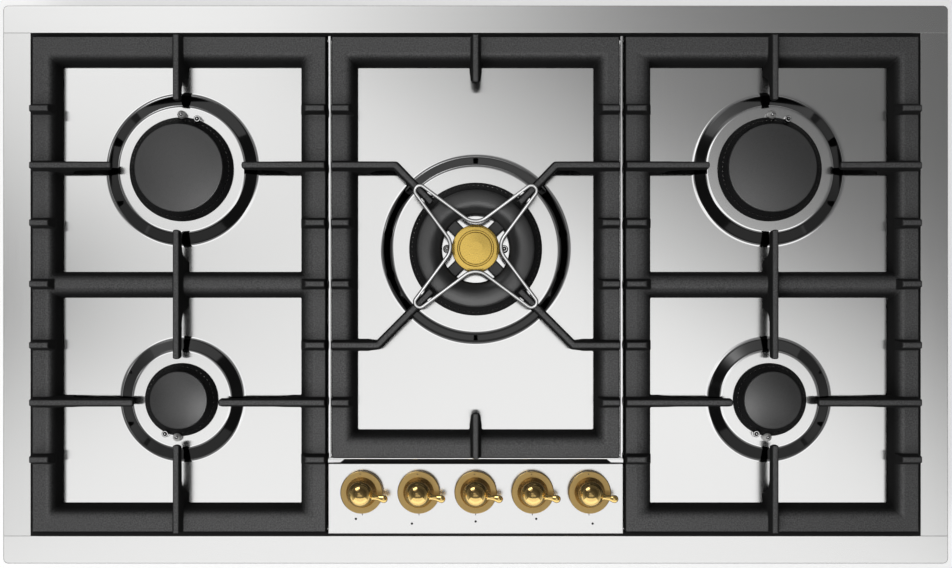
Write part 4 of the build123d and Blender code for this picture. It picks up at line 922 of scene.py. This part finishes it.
def cast_grate(node, body, mirror_of=None):
    ob_name = node.replace("_grate", "_cast_grate")
    if mirror_of is not None:
        me = mirror_of.copy()
        me.name = ob_name
        bm = bmesh.new()
        bm.from_mesh(me)
        for v in bm.verts:
            v.co.x = -v.co.x
        bmesh.ops.reverse_faces(bm, faces=bm.faces)
        bm.to_mesh(me)
        bm.free()
        me.materials.clear()
    else:
        src = bpy.data.meshes.new("tmp")
        bm = bmesh.new()
        bm.from_mesh(nodes[node].data)
        bmesh.ops.remove_doubles(bm, verts=bm.verts, dist=2e-6)
        bmesh.ops.dissolve_degenerate(bm, edges=bm.edges, dist=1e-7)
        bm.to_mesh(src)
        bm.free()
        for a in ("custom_normal",):
            if a in src.attributes:
                src.attributes.remove(src.attributes[a])
        tmp = bpy.data.objects.new("tmp_" + node, src)
        bpy.context.scene.collection.objects.link(tmp)
        r = tmp.modifiers.new("r", "REMESH")
        r.mode = "VOXEL"
        r.voxel_size = 0.00066
        s = tmp.modifiers.new("s", "SMOOTH")
        s.factor = 0.5
        s.iterations = 2
        dec = tmp.modifiers.new("d", "DECIMATE")
        dec.ratio = 0.165
        dg = bpy.context.evaluated_depsgraph_get()
        me = bpy.data.meshes.new_from_object(tmp.evaluated_get(dg))
        me.name = ob_name
        bpy.data.objects.remove(tmp)
        me.materials.clear()
        for p in me.polygons:
            p.use_smooth = True
            p.material_index = 0
        print(node, "faces", len(me.polygons))
    along_x, along_y = DRAFT[node]
    plain = me.copy() if node == "right_grate" else None
    for v in me.vertices:
        v.co.x = shifted(v.co.x / MM, along_x) * MM
        v.co.y = shifted(v.co.y / MM, along_y) * MM
    me.update()
    if plain is not None:
        CAST["plain"] = plain
    return finish_piece(ob_name, me, body, ["iron"], [node], None, False)


CAST = {}
cast_grate("right_grate", "right_grate")
cast_grate("left_grate", "left_grate", CAST["plain"])
bpy.data.meshes.remove(CAST.pop("plain"))
cast_grate("centre_grate", "centre_grate")


# ================================================================ wire star
def star():
    TIP_R, TIP_BEND, WAIST_R, WAIST_BEND = 79.8, 5.0, 24.0, 17.0
    tip_v, waist_v = 109.0, 20.6
    for _ in range(30):
        tx = tip_v / sqrt(2)
        beta = atan2(tx, tx - waist_v)
        waist_v = WAIST_R - WAIST_BEND / sin(beta) + WAIST_BEND
        alpha = abs(pi / 4 - atan2(tx - waist_v, tx))
        tip_v = TIP_R - TIP_BEND + TIP_BEND / sin(alpha)
    pts, rad = [], []
    for k in range(4):
        a = radians(90 * k)
        pts.append((waist_v * cos(a), waist_v * sin(a), WAIST_BEND))
        a = radians(90 * k + 45)
        pts.append((tip_v * cos(a), tip_v * sin(a), TIP_BEND))
    z = 95.0 + WIRE_R + 0.1
    loop = rounded(pts, True, 6.0)
    # even spacing along the straight runs
    path = []
    for i, p in enumerate(loop):
        q = loop[(i + 1) % len(loop)]
        d = hypot(q[0] - p[0], q[1] - p[1])
        k = max(1, int(d / 4.0))
        path += [(p[0] + (q[0] - p[0]) * j / k, p[1] + (q[1] - p[1]) * j / k + STAR_Y, z) for j in range(k)]
    b = Builder()
    b.tube(path, WIRE_R, 20, 0, closed=True)
    gap = lambda rho: (tip_v - rho) * tan(alpha)
    for k in range(4):
        for s in (-1, 1):
            rot = Matrix.Translation((0, STAR_Y, 0)) @ Matrix.Rotation(radians(90 * k + 45), 4, "Z")
            u0, v0 = 64.0, s * (gap(64.0) - 1.6)
            u1, v1 = 68.6, s * (gap(68.6) - 1.6)
            du, dv = (u1 - u0) / hypot(u1 - u0, v1 - v0), (v1 - v0) / hypot(u1 - u0, v1 - v0)
            line = [(u0, v0, 90.0), (u0, v0, 90.4), (u0, v0, 92.5), (u0, v0, z - 1.6)]
            for q in (20, 40, 60, 80):
                a = radians(q)
                line.append((u0 + du * 1.6 * (1 - cos(a)), v0 + dv * 1.6 * (1 - cos(a)), z - 1.6 + 1.6 * sin(a)))
            line += [(u0 + du * 1.8, v0 + dv * 1.8, z), (u1, v1, z)]
            line = [tuple(rot @ Vector(p)) for p in line]
            b.tube(line, [0.85] + [PEG_R] * (len(line) - 1), 14, 0)
    b.make("wire_star", "wok_star", "polished_stainless", ["wire"], ["wok_star"], 50.0, False)


star()


# ================================================================ knobs
def knob(k, x):
    zs, zt, zb = 75.5, 81.5, 97.8
    R, RB = 20.4, 12.0
    b = Builder()
    # skirt: flat ring, dish in darker brass (painted shade under the ball), neck
    skirt = rounded([(4.02, zs + 1.8), (17.2, zs + 1.8, 0.3), (17.2, zs), (R, zs, 0.5), (R, zt, 0.9), (14.6, zt, 0.5), (11.4, zt - 2.3, 2.2), (8.4, zt - 3.1, 1.2),
                     (6.3, zt - 2.9, 1.0), (5.7, zt + 0.5, 1.0), (5.6, zb - 9.0)], closed=False, step=12)
    mats = []
    for i in range(len(skirt) - 1):
        mr = (skirt[i][0] + skirt[i + 1][0]) / 2
        mz = (skirt[i][1] + skirt[i + 1][1]) / 2
        mats.append(1 if mr > 14.5 and mz > zs + 0.3 else (2 if mr < 14.5 and mz > zs + 1.9 and mz < zt + 1.4 else 0))
    b.lathe(skirt, x, KNOB_Y, 96, mats, closed=False)
    b.lathe([(5.6, zb - 9.0), (5.6, zb - 8.0), (4.02, zb - 8.0), (4.02, zs + 1.8)], x, KNOB_Y, 96, 0, closed=False)
    # polished ball, from where the neck enters it
    ball = [(RB * cos(radians(a)), zb + RB * sin(radians(a))) for a in [-60 + 5 * i for i in range(31)]]
    ball = [(r if r > 1e-4 else 0.0, z) for r, z in ball]
    ball = [(0.0, ball[0][1])] + ball
    b.lathe(ball, x, KNOB_Y, 96, 0, closed=True)
    # lever: slender rod swelling to a rounded end
    turn = radians(-11.5)
    ux, uy = cos(turn), sin(turn)
    stations = [(6.0, 3.3), (9.0, 3.3), (10.6, 3.35), (11.2, 3.5), (11.9, 3.45), (12.6, 3.0), (13.6, 2.6), (15.2, 2.4), (17.4, 2.45), (19.0, 2.8), (20.6, 3.35),
                (21.8, 3.65), (22.75, 3.75)]
    for a in (15, 30, 45, 60, 75, 86):
        stations.append((22.75 + 3.75 * sin(radians(a)), 3.75 * cos(radians(a))))
    pts = [(x + ux * s, KNOB_Y + uy * s, zb) for s, _ in stations]
    b.tube(pts, [r for _, r in stations], 40, 3)
    # index dot on the ring
    b.lathe(rounded([(0, zt - 0.3), (0.75, zt - 0.3), (0.75, zt + 0.12, 0.1), (0, zt + 0.16)], True, 30), x - 1.2, KNOB_Y + 17.6, 20, 2)
    b.make("lever_knob_%d" % k, "knob_%d" % k, "polished_brass", ["brass_ball", "brass_ring", "brass_dish_painted_shade", "brass_lever"], ["knob_%d" % k], 40.0)


for k, x in enumerate(KNOB_X, 1):
    knob(k, x)


# ================================================================ control panel and its marks
bevelled("control_panel", "hob", ["rail_x"], 0.35, 2)


def panel_marks():
    b = Builder()
    z = Z_RAIL
    dots = [(-115.8, -226.6), (-61.6, -231.2), (0.0, -229.1), (58.6, -226.6), (113.1, -231.2)]
    for x, y in dots:
        b.lathe([(0, z + 0.02), (1.15, z + 0.02), (1.15, z + 0.06), (0, z + 0.06)], x, y, 24)
    for x in KNOB_X:
        b.slab([[(x - 0.35, -223.2), (x + 0.35, -223.2), (x + 0.35, -221.0), (x - 0.35, -221.0)]], z + 0.02, z + 0.06)
    b.make("panel_marks", "hob", "bezel_black", ["mark"], (), 32.0, False)


panel_marks()


def lip_returns():
    """The folded ends of the front lip, which close the gap behind the panel at both corners."""
    b = Builder()
    for s in (-1, 1):
        top = [(142.6, -168.95, 69.6), (126.8, -168.95, 66.9), (131.0, -172.1, 67.62), (142.6, -172.1, 69.6)]
        v = [(s * x, y, z) for x, y, z in top] + [(s * x, y, z - 0.8) for x, y, z in top]
        b.add(v, [(0, 1, 2, 3), (7, 6, 5, 4), (0, 4, 5, 1), (1, 5, 6, 2), (2, 6, 7, 3), (3, 7, 4, 0)], 0)
    b.make("lip_returns", "hob", "polished_stainless", ["bright"], (), 32.0, False)


lip_returns()

# ================================================================ finishes of the pieces that keep their shape
finish_of = {
    "galvanised_steel": "galv", "black_rubber": "rubber", "zinc_steel": "zinc", "valve_brass": "brass_valve", "bezel_black": "bezel",
    "module_plastic": "module", "ceramic_white": "ceramic", "cast_aluminium": "alu", "brushed_stainless": "rail_x", "polished_stainless": "bright",
    "cast_iron": "iron", "black_enamel": "cap", "dark_crown": "crown", "brass": "brass_cap", "polished_brass": "brass_ball"}
slot_of = {s["node"]: s["material_slot"] for s in frame["record"]["subparts"]}
for n, ob in nodes.items():
    ob.data.materials.clear()
    ob.data.materials.append(M[finish_of[slot_of[n]]])
nodes["cable_gland"].data.materials.clear()
nodes["cable_gland"].data.materials.append(M["bezel"])

# ================================================================ floor
me = bpy.data.meshes.new("floor")
bm = bmesh.new()
for p in ((-6, -6), (6, -6), (6, 6), (-6, 6)):
    bm.verts.new((p[0], p[1], -0.0005))
bm.faces.new(bm.verts)
bm.to_mesh(me)
bm.free()
floor = bpy.data.objects.new("floor", me)
bpy.context.scene.collection.objects.link(floor)
fm = Nodes("floor_pale")
fm.set(Base_Color=fm.mix(fm.noise(fm.mapping((1, 1, 1)), 3.0, 2.0), (0.78, 0.78, 0.78), (0.80, 0.80, 0.80)), Roughness=0.9, Specular_IOR_Level=0.1)
fm.set(Emission_Color=(1, 1, 1, 1), Emission_Strength=0.55)
me.materials.append(fm.mat)

# ================================================================ studio light
scene = bpy.context.scene
world = bpy.data.worlds.new("studio")
scene.world = world
world.use_nodes = True
wt = world.node_tree
wt.nodes.clear()


class W:
    def __init__(self, tree):
        self.t = tree

    def m(self, op, a, b=0.0, clamp=False):
        n = self.t.nodes.new("ShaderNodeMath")
        n.operation = op
        n.use_clamp = clamp
        for i, v in enumerate((a, b)):
            if isinstance(v, bpy.types.NodeSocket):
                self.t.links.new(v, n.inputs[i])
            else:
                n.inputs[i].default_value = v
        return n.outputs[0]

    def smooth(self, v, a, b, c, d):
        n = self.t.nodes.new("ShaderNodeMapRange")
        n.interpolation_type = "SMOOTHSTEP"
        self.t.links.new(v, n.inputs["Value"])
        for k, x in (("From Min", a), ("From Max", b), ("To Min", c), ("To Max", d)):
            n.inputs[k].default_value = x
        return n.outputs[0]

    def ramp(self, v, lo, hi, stops):
        f = self.smooth_lin(v, lo, hi)
        n = self.t.nodes.new("ShaderNodeValToRGB")
        self.t.links.new(f, n.inputs[0])
        e = n.color_ramp.elements
        while len(e) < len(stops):
            e.new(0.5)
        for el, (p, c) in zip(e, stops):
            el.position = (p - lo) / (hi - lo)
            el.color = (c, c, c, 1)
        return n.outputs["Color"]

    def smooth_lin(self, v, a, b):
        n = self.t.nodes.new("ShaderNodeMapRange")
        self.t.links.new(v, n.inputs["Value"])
        for k, x in (("From Min", a), ("From Max", b), ("To Min", 0.0), ("To Max", 1.0)):
            n.inputs[k].default_value = x
        return n.outputs[0]

    def blob(self, sx, sy, cx, cy, rx, ry):
        """exp(-((sx-cx)/rx)^2 - ((sy-cy)/ry)^2)"""
        a = self.m("DIVIDE", self.m("SUBTRACT", sx, cx), rx)
        b = self.m("DIVIDE", self.m("SUBTRACT", sy, cy), ry)
        s = self.m("ADD", self.m("MULTIPLY", a, a), self.m("MULTIPLY", b, b))
        return self.m("EXPONENT", self.m("MULTIPLY", s, -1.0))


w = W(wt)
tc = wt.nodes.new("ShaderNodeTexCoord")
sep = wt.nodes.new("ShaderNodeSeparateXYZ")
wt.links.new(tc.outputs["Generated"], sep.inputs[0])
dx, dy, dz = sep.outputs
zz = w.m("MAXIMUM", dz, 0.02)
sx = w.m("DIVIDE", dx, zz)
sy = w.m("DIVIDE", dy, zz)
rad = w.m("SQRT", w.m("ADD", w.m("MULTIPLY", sx, sx), w.m("MULTIPLY", sy, sy)))
t = w.m("ADD", w.m("MULTIPLY", sx, 0.70), w.m("SUBTRACT", sy, w.smooth(sy, 0.16, 0.25, 0.0, 0.12)))
main = w.ramp(t, -0.1, 0.5, [(-0.1, 1.13), (0.07, 1.13), (0.082, 1.10), (0.089, 1.03), (0.096, 0.94), (0.1045, 0.86), (0.13, 0.70), (0.14, 0.65),
                             (0.166, 0.565), (0.19, 0.325), (0.214, 0.23), (0.235, 0.212), (0.26, 0.186), (0.30, 0.152), (0.345, 0.127), (0.5, 0.11)])
patch = w.m("SUBTRACT", 1.0, w.m("MULTIPLY", w.blob(sx, sy, -0.365, 0.020, 0.13, 0.066), 0.96))
main = w.m("MULTIPLY", main, patch)
main = w.m("MULTIPLY", main, w.smooth(sy, -0.24, -0.145, 1.28, 1.0))
main = w.m("MULTIPLY", main, w.smooth(sy, 0.160, 0.180, 1.0, 1.14))
edge = w.m("ADD", w.m("MULTIPLY", w.blob(sx, sy, -0.315, 0.03, 0.04, 0.06), 0.22), w.m("MULTIPLY", w.blob(sx, sy, 0.305, 0.03, 0.05, 0.07), 0.14))
edge = w.m("ADD", edge, w.m("MULTIPLY", w.blob(sx, sy, -0.095, 0.055, 0.07, 0.09), 0.09))
edge = w.m("SUBTRACT", edge, w.m("MULTIPLY", w.blob(sx, sy, 0.205, -0.02, 0.06, 0.05), 0.17))
edge = w.m("SUBTRACT", edge, w.m("MULTIPLY", w.blob(sx, sy, 0.0, 0.197, 0.05, 0.02), 0.10))
top_right = w.m("MULTIPLY", w.smooth(sy, 0.128, 0.158, 0.0, 0.14), w.smooth(sx, 0.06, 0.11, 0.0, 1.0))
edge = w.m("SUBTRACT", edge, w.m("MULTIPLY", top_right, w.smooth(sy, 0.165, 0.18, 1.0, 0.0)))
main = w.m("MULTIPLY", main, w.m("SUBTRACT", 1.0, edge))
# the overhead softbox is a rectangle
inner = w.m("MULTIPLY", w.smooth(w.m("ABSOLUTE", sx), 0.345, 0.43, 1.0, 0.0), w.smooth(w.m("ABSOLUTE", w.m("SUBTRACT", sy, 0.03)), 0.25, 0.33, 1.0, 0.0))
# a dim band all round above the softboxes, with brighter panels at the upper left
az = w.m("ARCTAN2", dy, dx)
dim = w.smooth(w.m("ABSOLUTE", sx), 0.85, 1.15, 0.055, 0.04)
panels = [(-0.52, 0.92, 0.24, 0.19, 1.55), (-0.85, 1.25, 0.65, 0.35, 0.22), (-0.80, 0.27, 0.12, 0.07, 0.65), (0.85, 0.0, 0.25, 0.35, 0.02)]
# a grey collar between the softbox and the dim band
band = w.m("ADD", dim, w.smooth(rad, 0.55, 0.72, 0.13, 0.0))
for cx_, cy_, rx_, ry_, gain in panels:
    band = w.m("ADD", band, w.m("MULTIPLY", w.blob(sx, sy, cx_, cy_, rx_, ry_), gain))
# low softbox ring, brightest in front
low = w.smooth(rad, 2.0, 2.7, 0.0, 1.0)
front = w.smooth(dy, -0.9, 0.3, 1.0, 0.30)
low = w.m("MULTIPLY", low, front)
sky = w.m("ADD", w.m("ADD", w.m("MULTIPLY", main, inner), w.m("MULTIPLY", w.m("SUBTRACT", 1.0, inner), band)), w.m("MULTIPLY", low, 0.40))
# below the horizon
up = w.smooth(dz, -0.02, 0.02, 0.0, 1.0)
sky = w.m("ADD", w.m("MULTIPLY", sky, up), w.m("MULTIPLY", w.m("SUBTRACT", 1.0, up), 0.6))
lp = wt.nodes.new("ShaderNodeLightPath")
mixn = wt.nodes.new("ShaderNodeMix")
mixn.data_type = "FLOAT"
wt.links.new(lp.outputs["Is Camera Ray"], mixn.inputs[0])
wt.links.new(sky, mixn.inputs[2])
mixn.inputs[3].default_value = 0.94
bg = wt.nodes.new("ShaderNodeBackground")
comb = wt.nodes.new("ShaderNodeCombineColor")
for i in range(3):
    wt.links.new(mixn.outputs[0], comb.inputs[i])
wt.links.new(comb.outputs[0], bg.inputs[0])
bg.inputs[1].default_value = 1.0
wo = wt.nodes.new("ShaderNodeOutputWorld")
wt.links.new(bg.outputs[0], wo.inputs[0])

lamp = bpy.data.lights.new("front_left_soft", "AREA")
lamp.shape = "RECTANGLE"
lamp.size, lamp.size_y = 1.6, 1.2
lamp.energy = 26.0
lo = bpy.data.objects.new("front_left_soft", lamp)
lo.location = (-1.2, -1.6, 1.7)
lo.rotation_euler = (Vector((0, 0, 0.06)) - Vector(lo.location)).to_track_quat("-Z", "Y").to_euler()
lo.visible_glossy = False
scene.collection.objects.link(lo)


def soft(name, place, aim, wide, tall, watts, receivers):
    """A softbox that lights only some of the pieces."""
    lamp = bpy.data.lights.new(name, "AREA")
    lamp.shape = "RECTANGLE"
    lamp.size, lamp.size_y = wide, tall
    lamp.energy = watts
    ob = bpy.data.objects.new(name, lamp)
    ob.location = place
    ob.rotation_euler = (Vector(aim) - Vector(place)).to_track_quat("-Z", "Y").to_euler()
    ob.visible_camera = False
    scene.collection.objects.link(ob)
    group = bpy.data.collections.new(name + "_pieces")
    for n in receivers:
        group.objects.link(bpy.data.objects[n])
    ob.light_linking.receiver_collection = group
    return ob


above = (-0.03, -0.35, 1.55)
soft("rear_caps_soft", above, (0.0, 0.0, 0.08), 0.6, 0.5, 6.2, ["enamel_cap_rear_left", "enamel_cap_rear_right"])
soft("front_caps_soft", above, (0.0, 0.0, 0.08), 0.6, 0.5, 2.9, ["enamel_cap_front_left", "enamel_cap_front_right"])
soft("middle_soft", above, (0.0, 0.0, 0.08), 0.6, 0.5, 1.9, ["ring_cap", "flame_crown_centre"])
soft("grates_soft", above, (0.0, 0.0, 0.08), 0.6, 0.5, 3.2, ["left_cast_grate", "right_cast_grate", "centre_cast_grate"])
soft("grates_rear_soft", (-0.4, 1.05, 1.35), (-0.1, 0.0, 0.08), 0.6, 0.5, 2.8, ["left_cast_grate", "right_cast_grate", "centre_cast_grate"])
soft("wire_soft", (0.0, 0.03, 1.2), (0.0, 0.03, 0.0), 6.0, 6.0, 30.0, ["wire_star"])
# tall sheets of light all round, for the steel seen at a slant
steel_pieces = ["pressed_pan", "front_rail_shell", "rear_rail_shell", "left_rail_shell", "right_rail_shell", "pan_dividers_shell", "pan_front_lip_shell",
                "control_panel_shell", "lip_returns"]
soft("rear_sheet", (0.0, 2.6, 1.35), (0.0, 0.0, 0.07), 5.2, 2.3, 15.0, steel_pieces)
soft("front_sheet", (0.0, -2.6, 1.35), (0.0, 0.0, 0.07), 5.2, 2.3, 8.0, steel_pieces)
soft("left_sheet", (-2.8, 0.0, 1.35), (0.0, 0.0, 0.07), 4.6, 2.3, 7.0, steel_pieces)
soft("right_sheet", (2.8, 0.0, 1.35), (0.0, 0.0, 0.07), 4.6, 2.3, 5.0, steel_pieces)
levers = ["lever_knob_%d" % k for k in range(1, 6)]
soft("knob_soft", (0.0, -1.3, 0.80), (0.0, -0.2, 0.5), 3.0, 1.5, 15.0, levers)
soft("knob_window", (-0.64, 1.056, 0.75), (0.0, -0.2, 0.10), 0.9, 0.6, 11.0, levers)

# ================================================================ camera, straight above
cam = bpy.data.cameras.new("camera")
cam.sensor_width = 36.0
cam.lens = 62.576
cam.shift_y = 0.0431
cam.shift_x = 0.00037
cam.clip_start = 0.05
cam.clip_end = 50.0
co = bpy.data.objects.new("camera", cam)
co.location = (0.0, -0.0392, 1.670)
scene.collection.objects.link(co)
scene.camera = co
scene.view_settings.view_transform = "Standard"
scene.view_settings.look = "None"
scene.view_settings.exposure = 0.0
scene.view_settings.gamma = 1.0
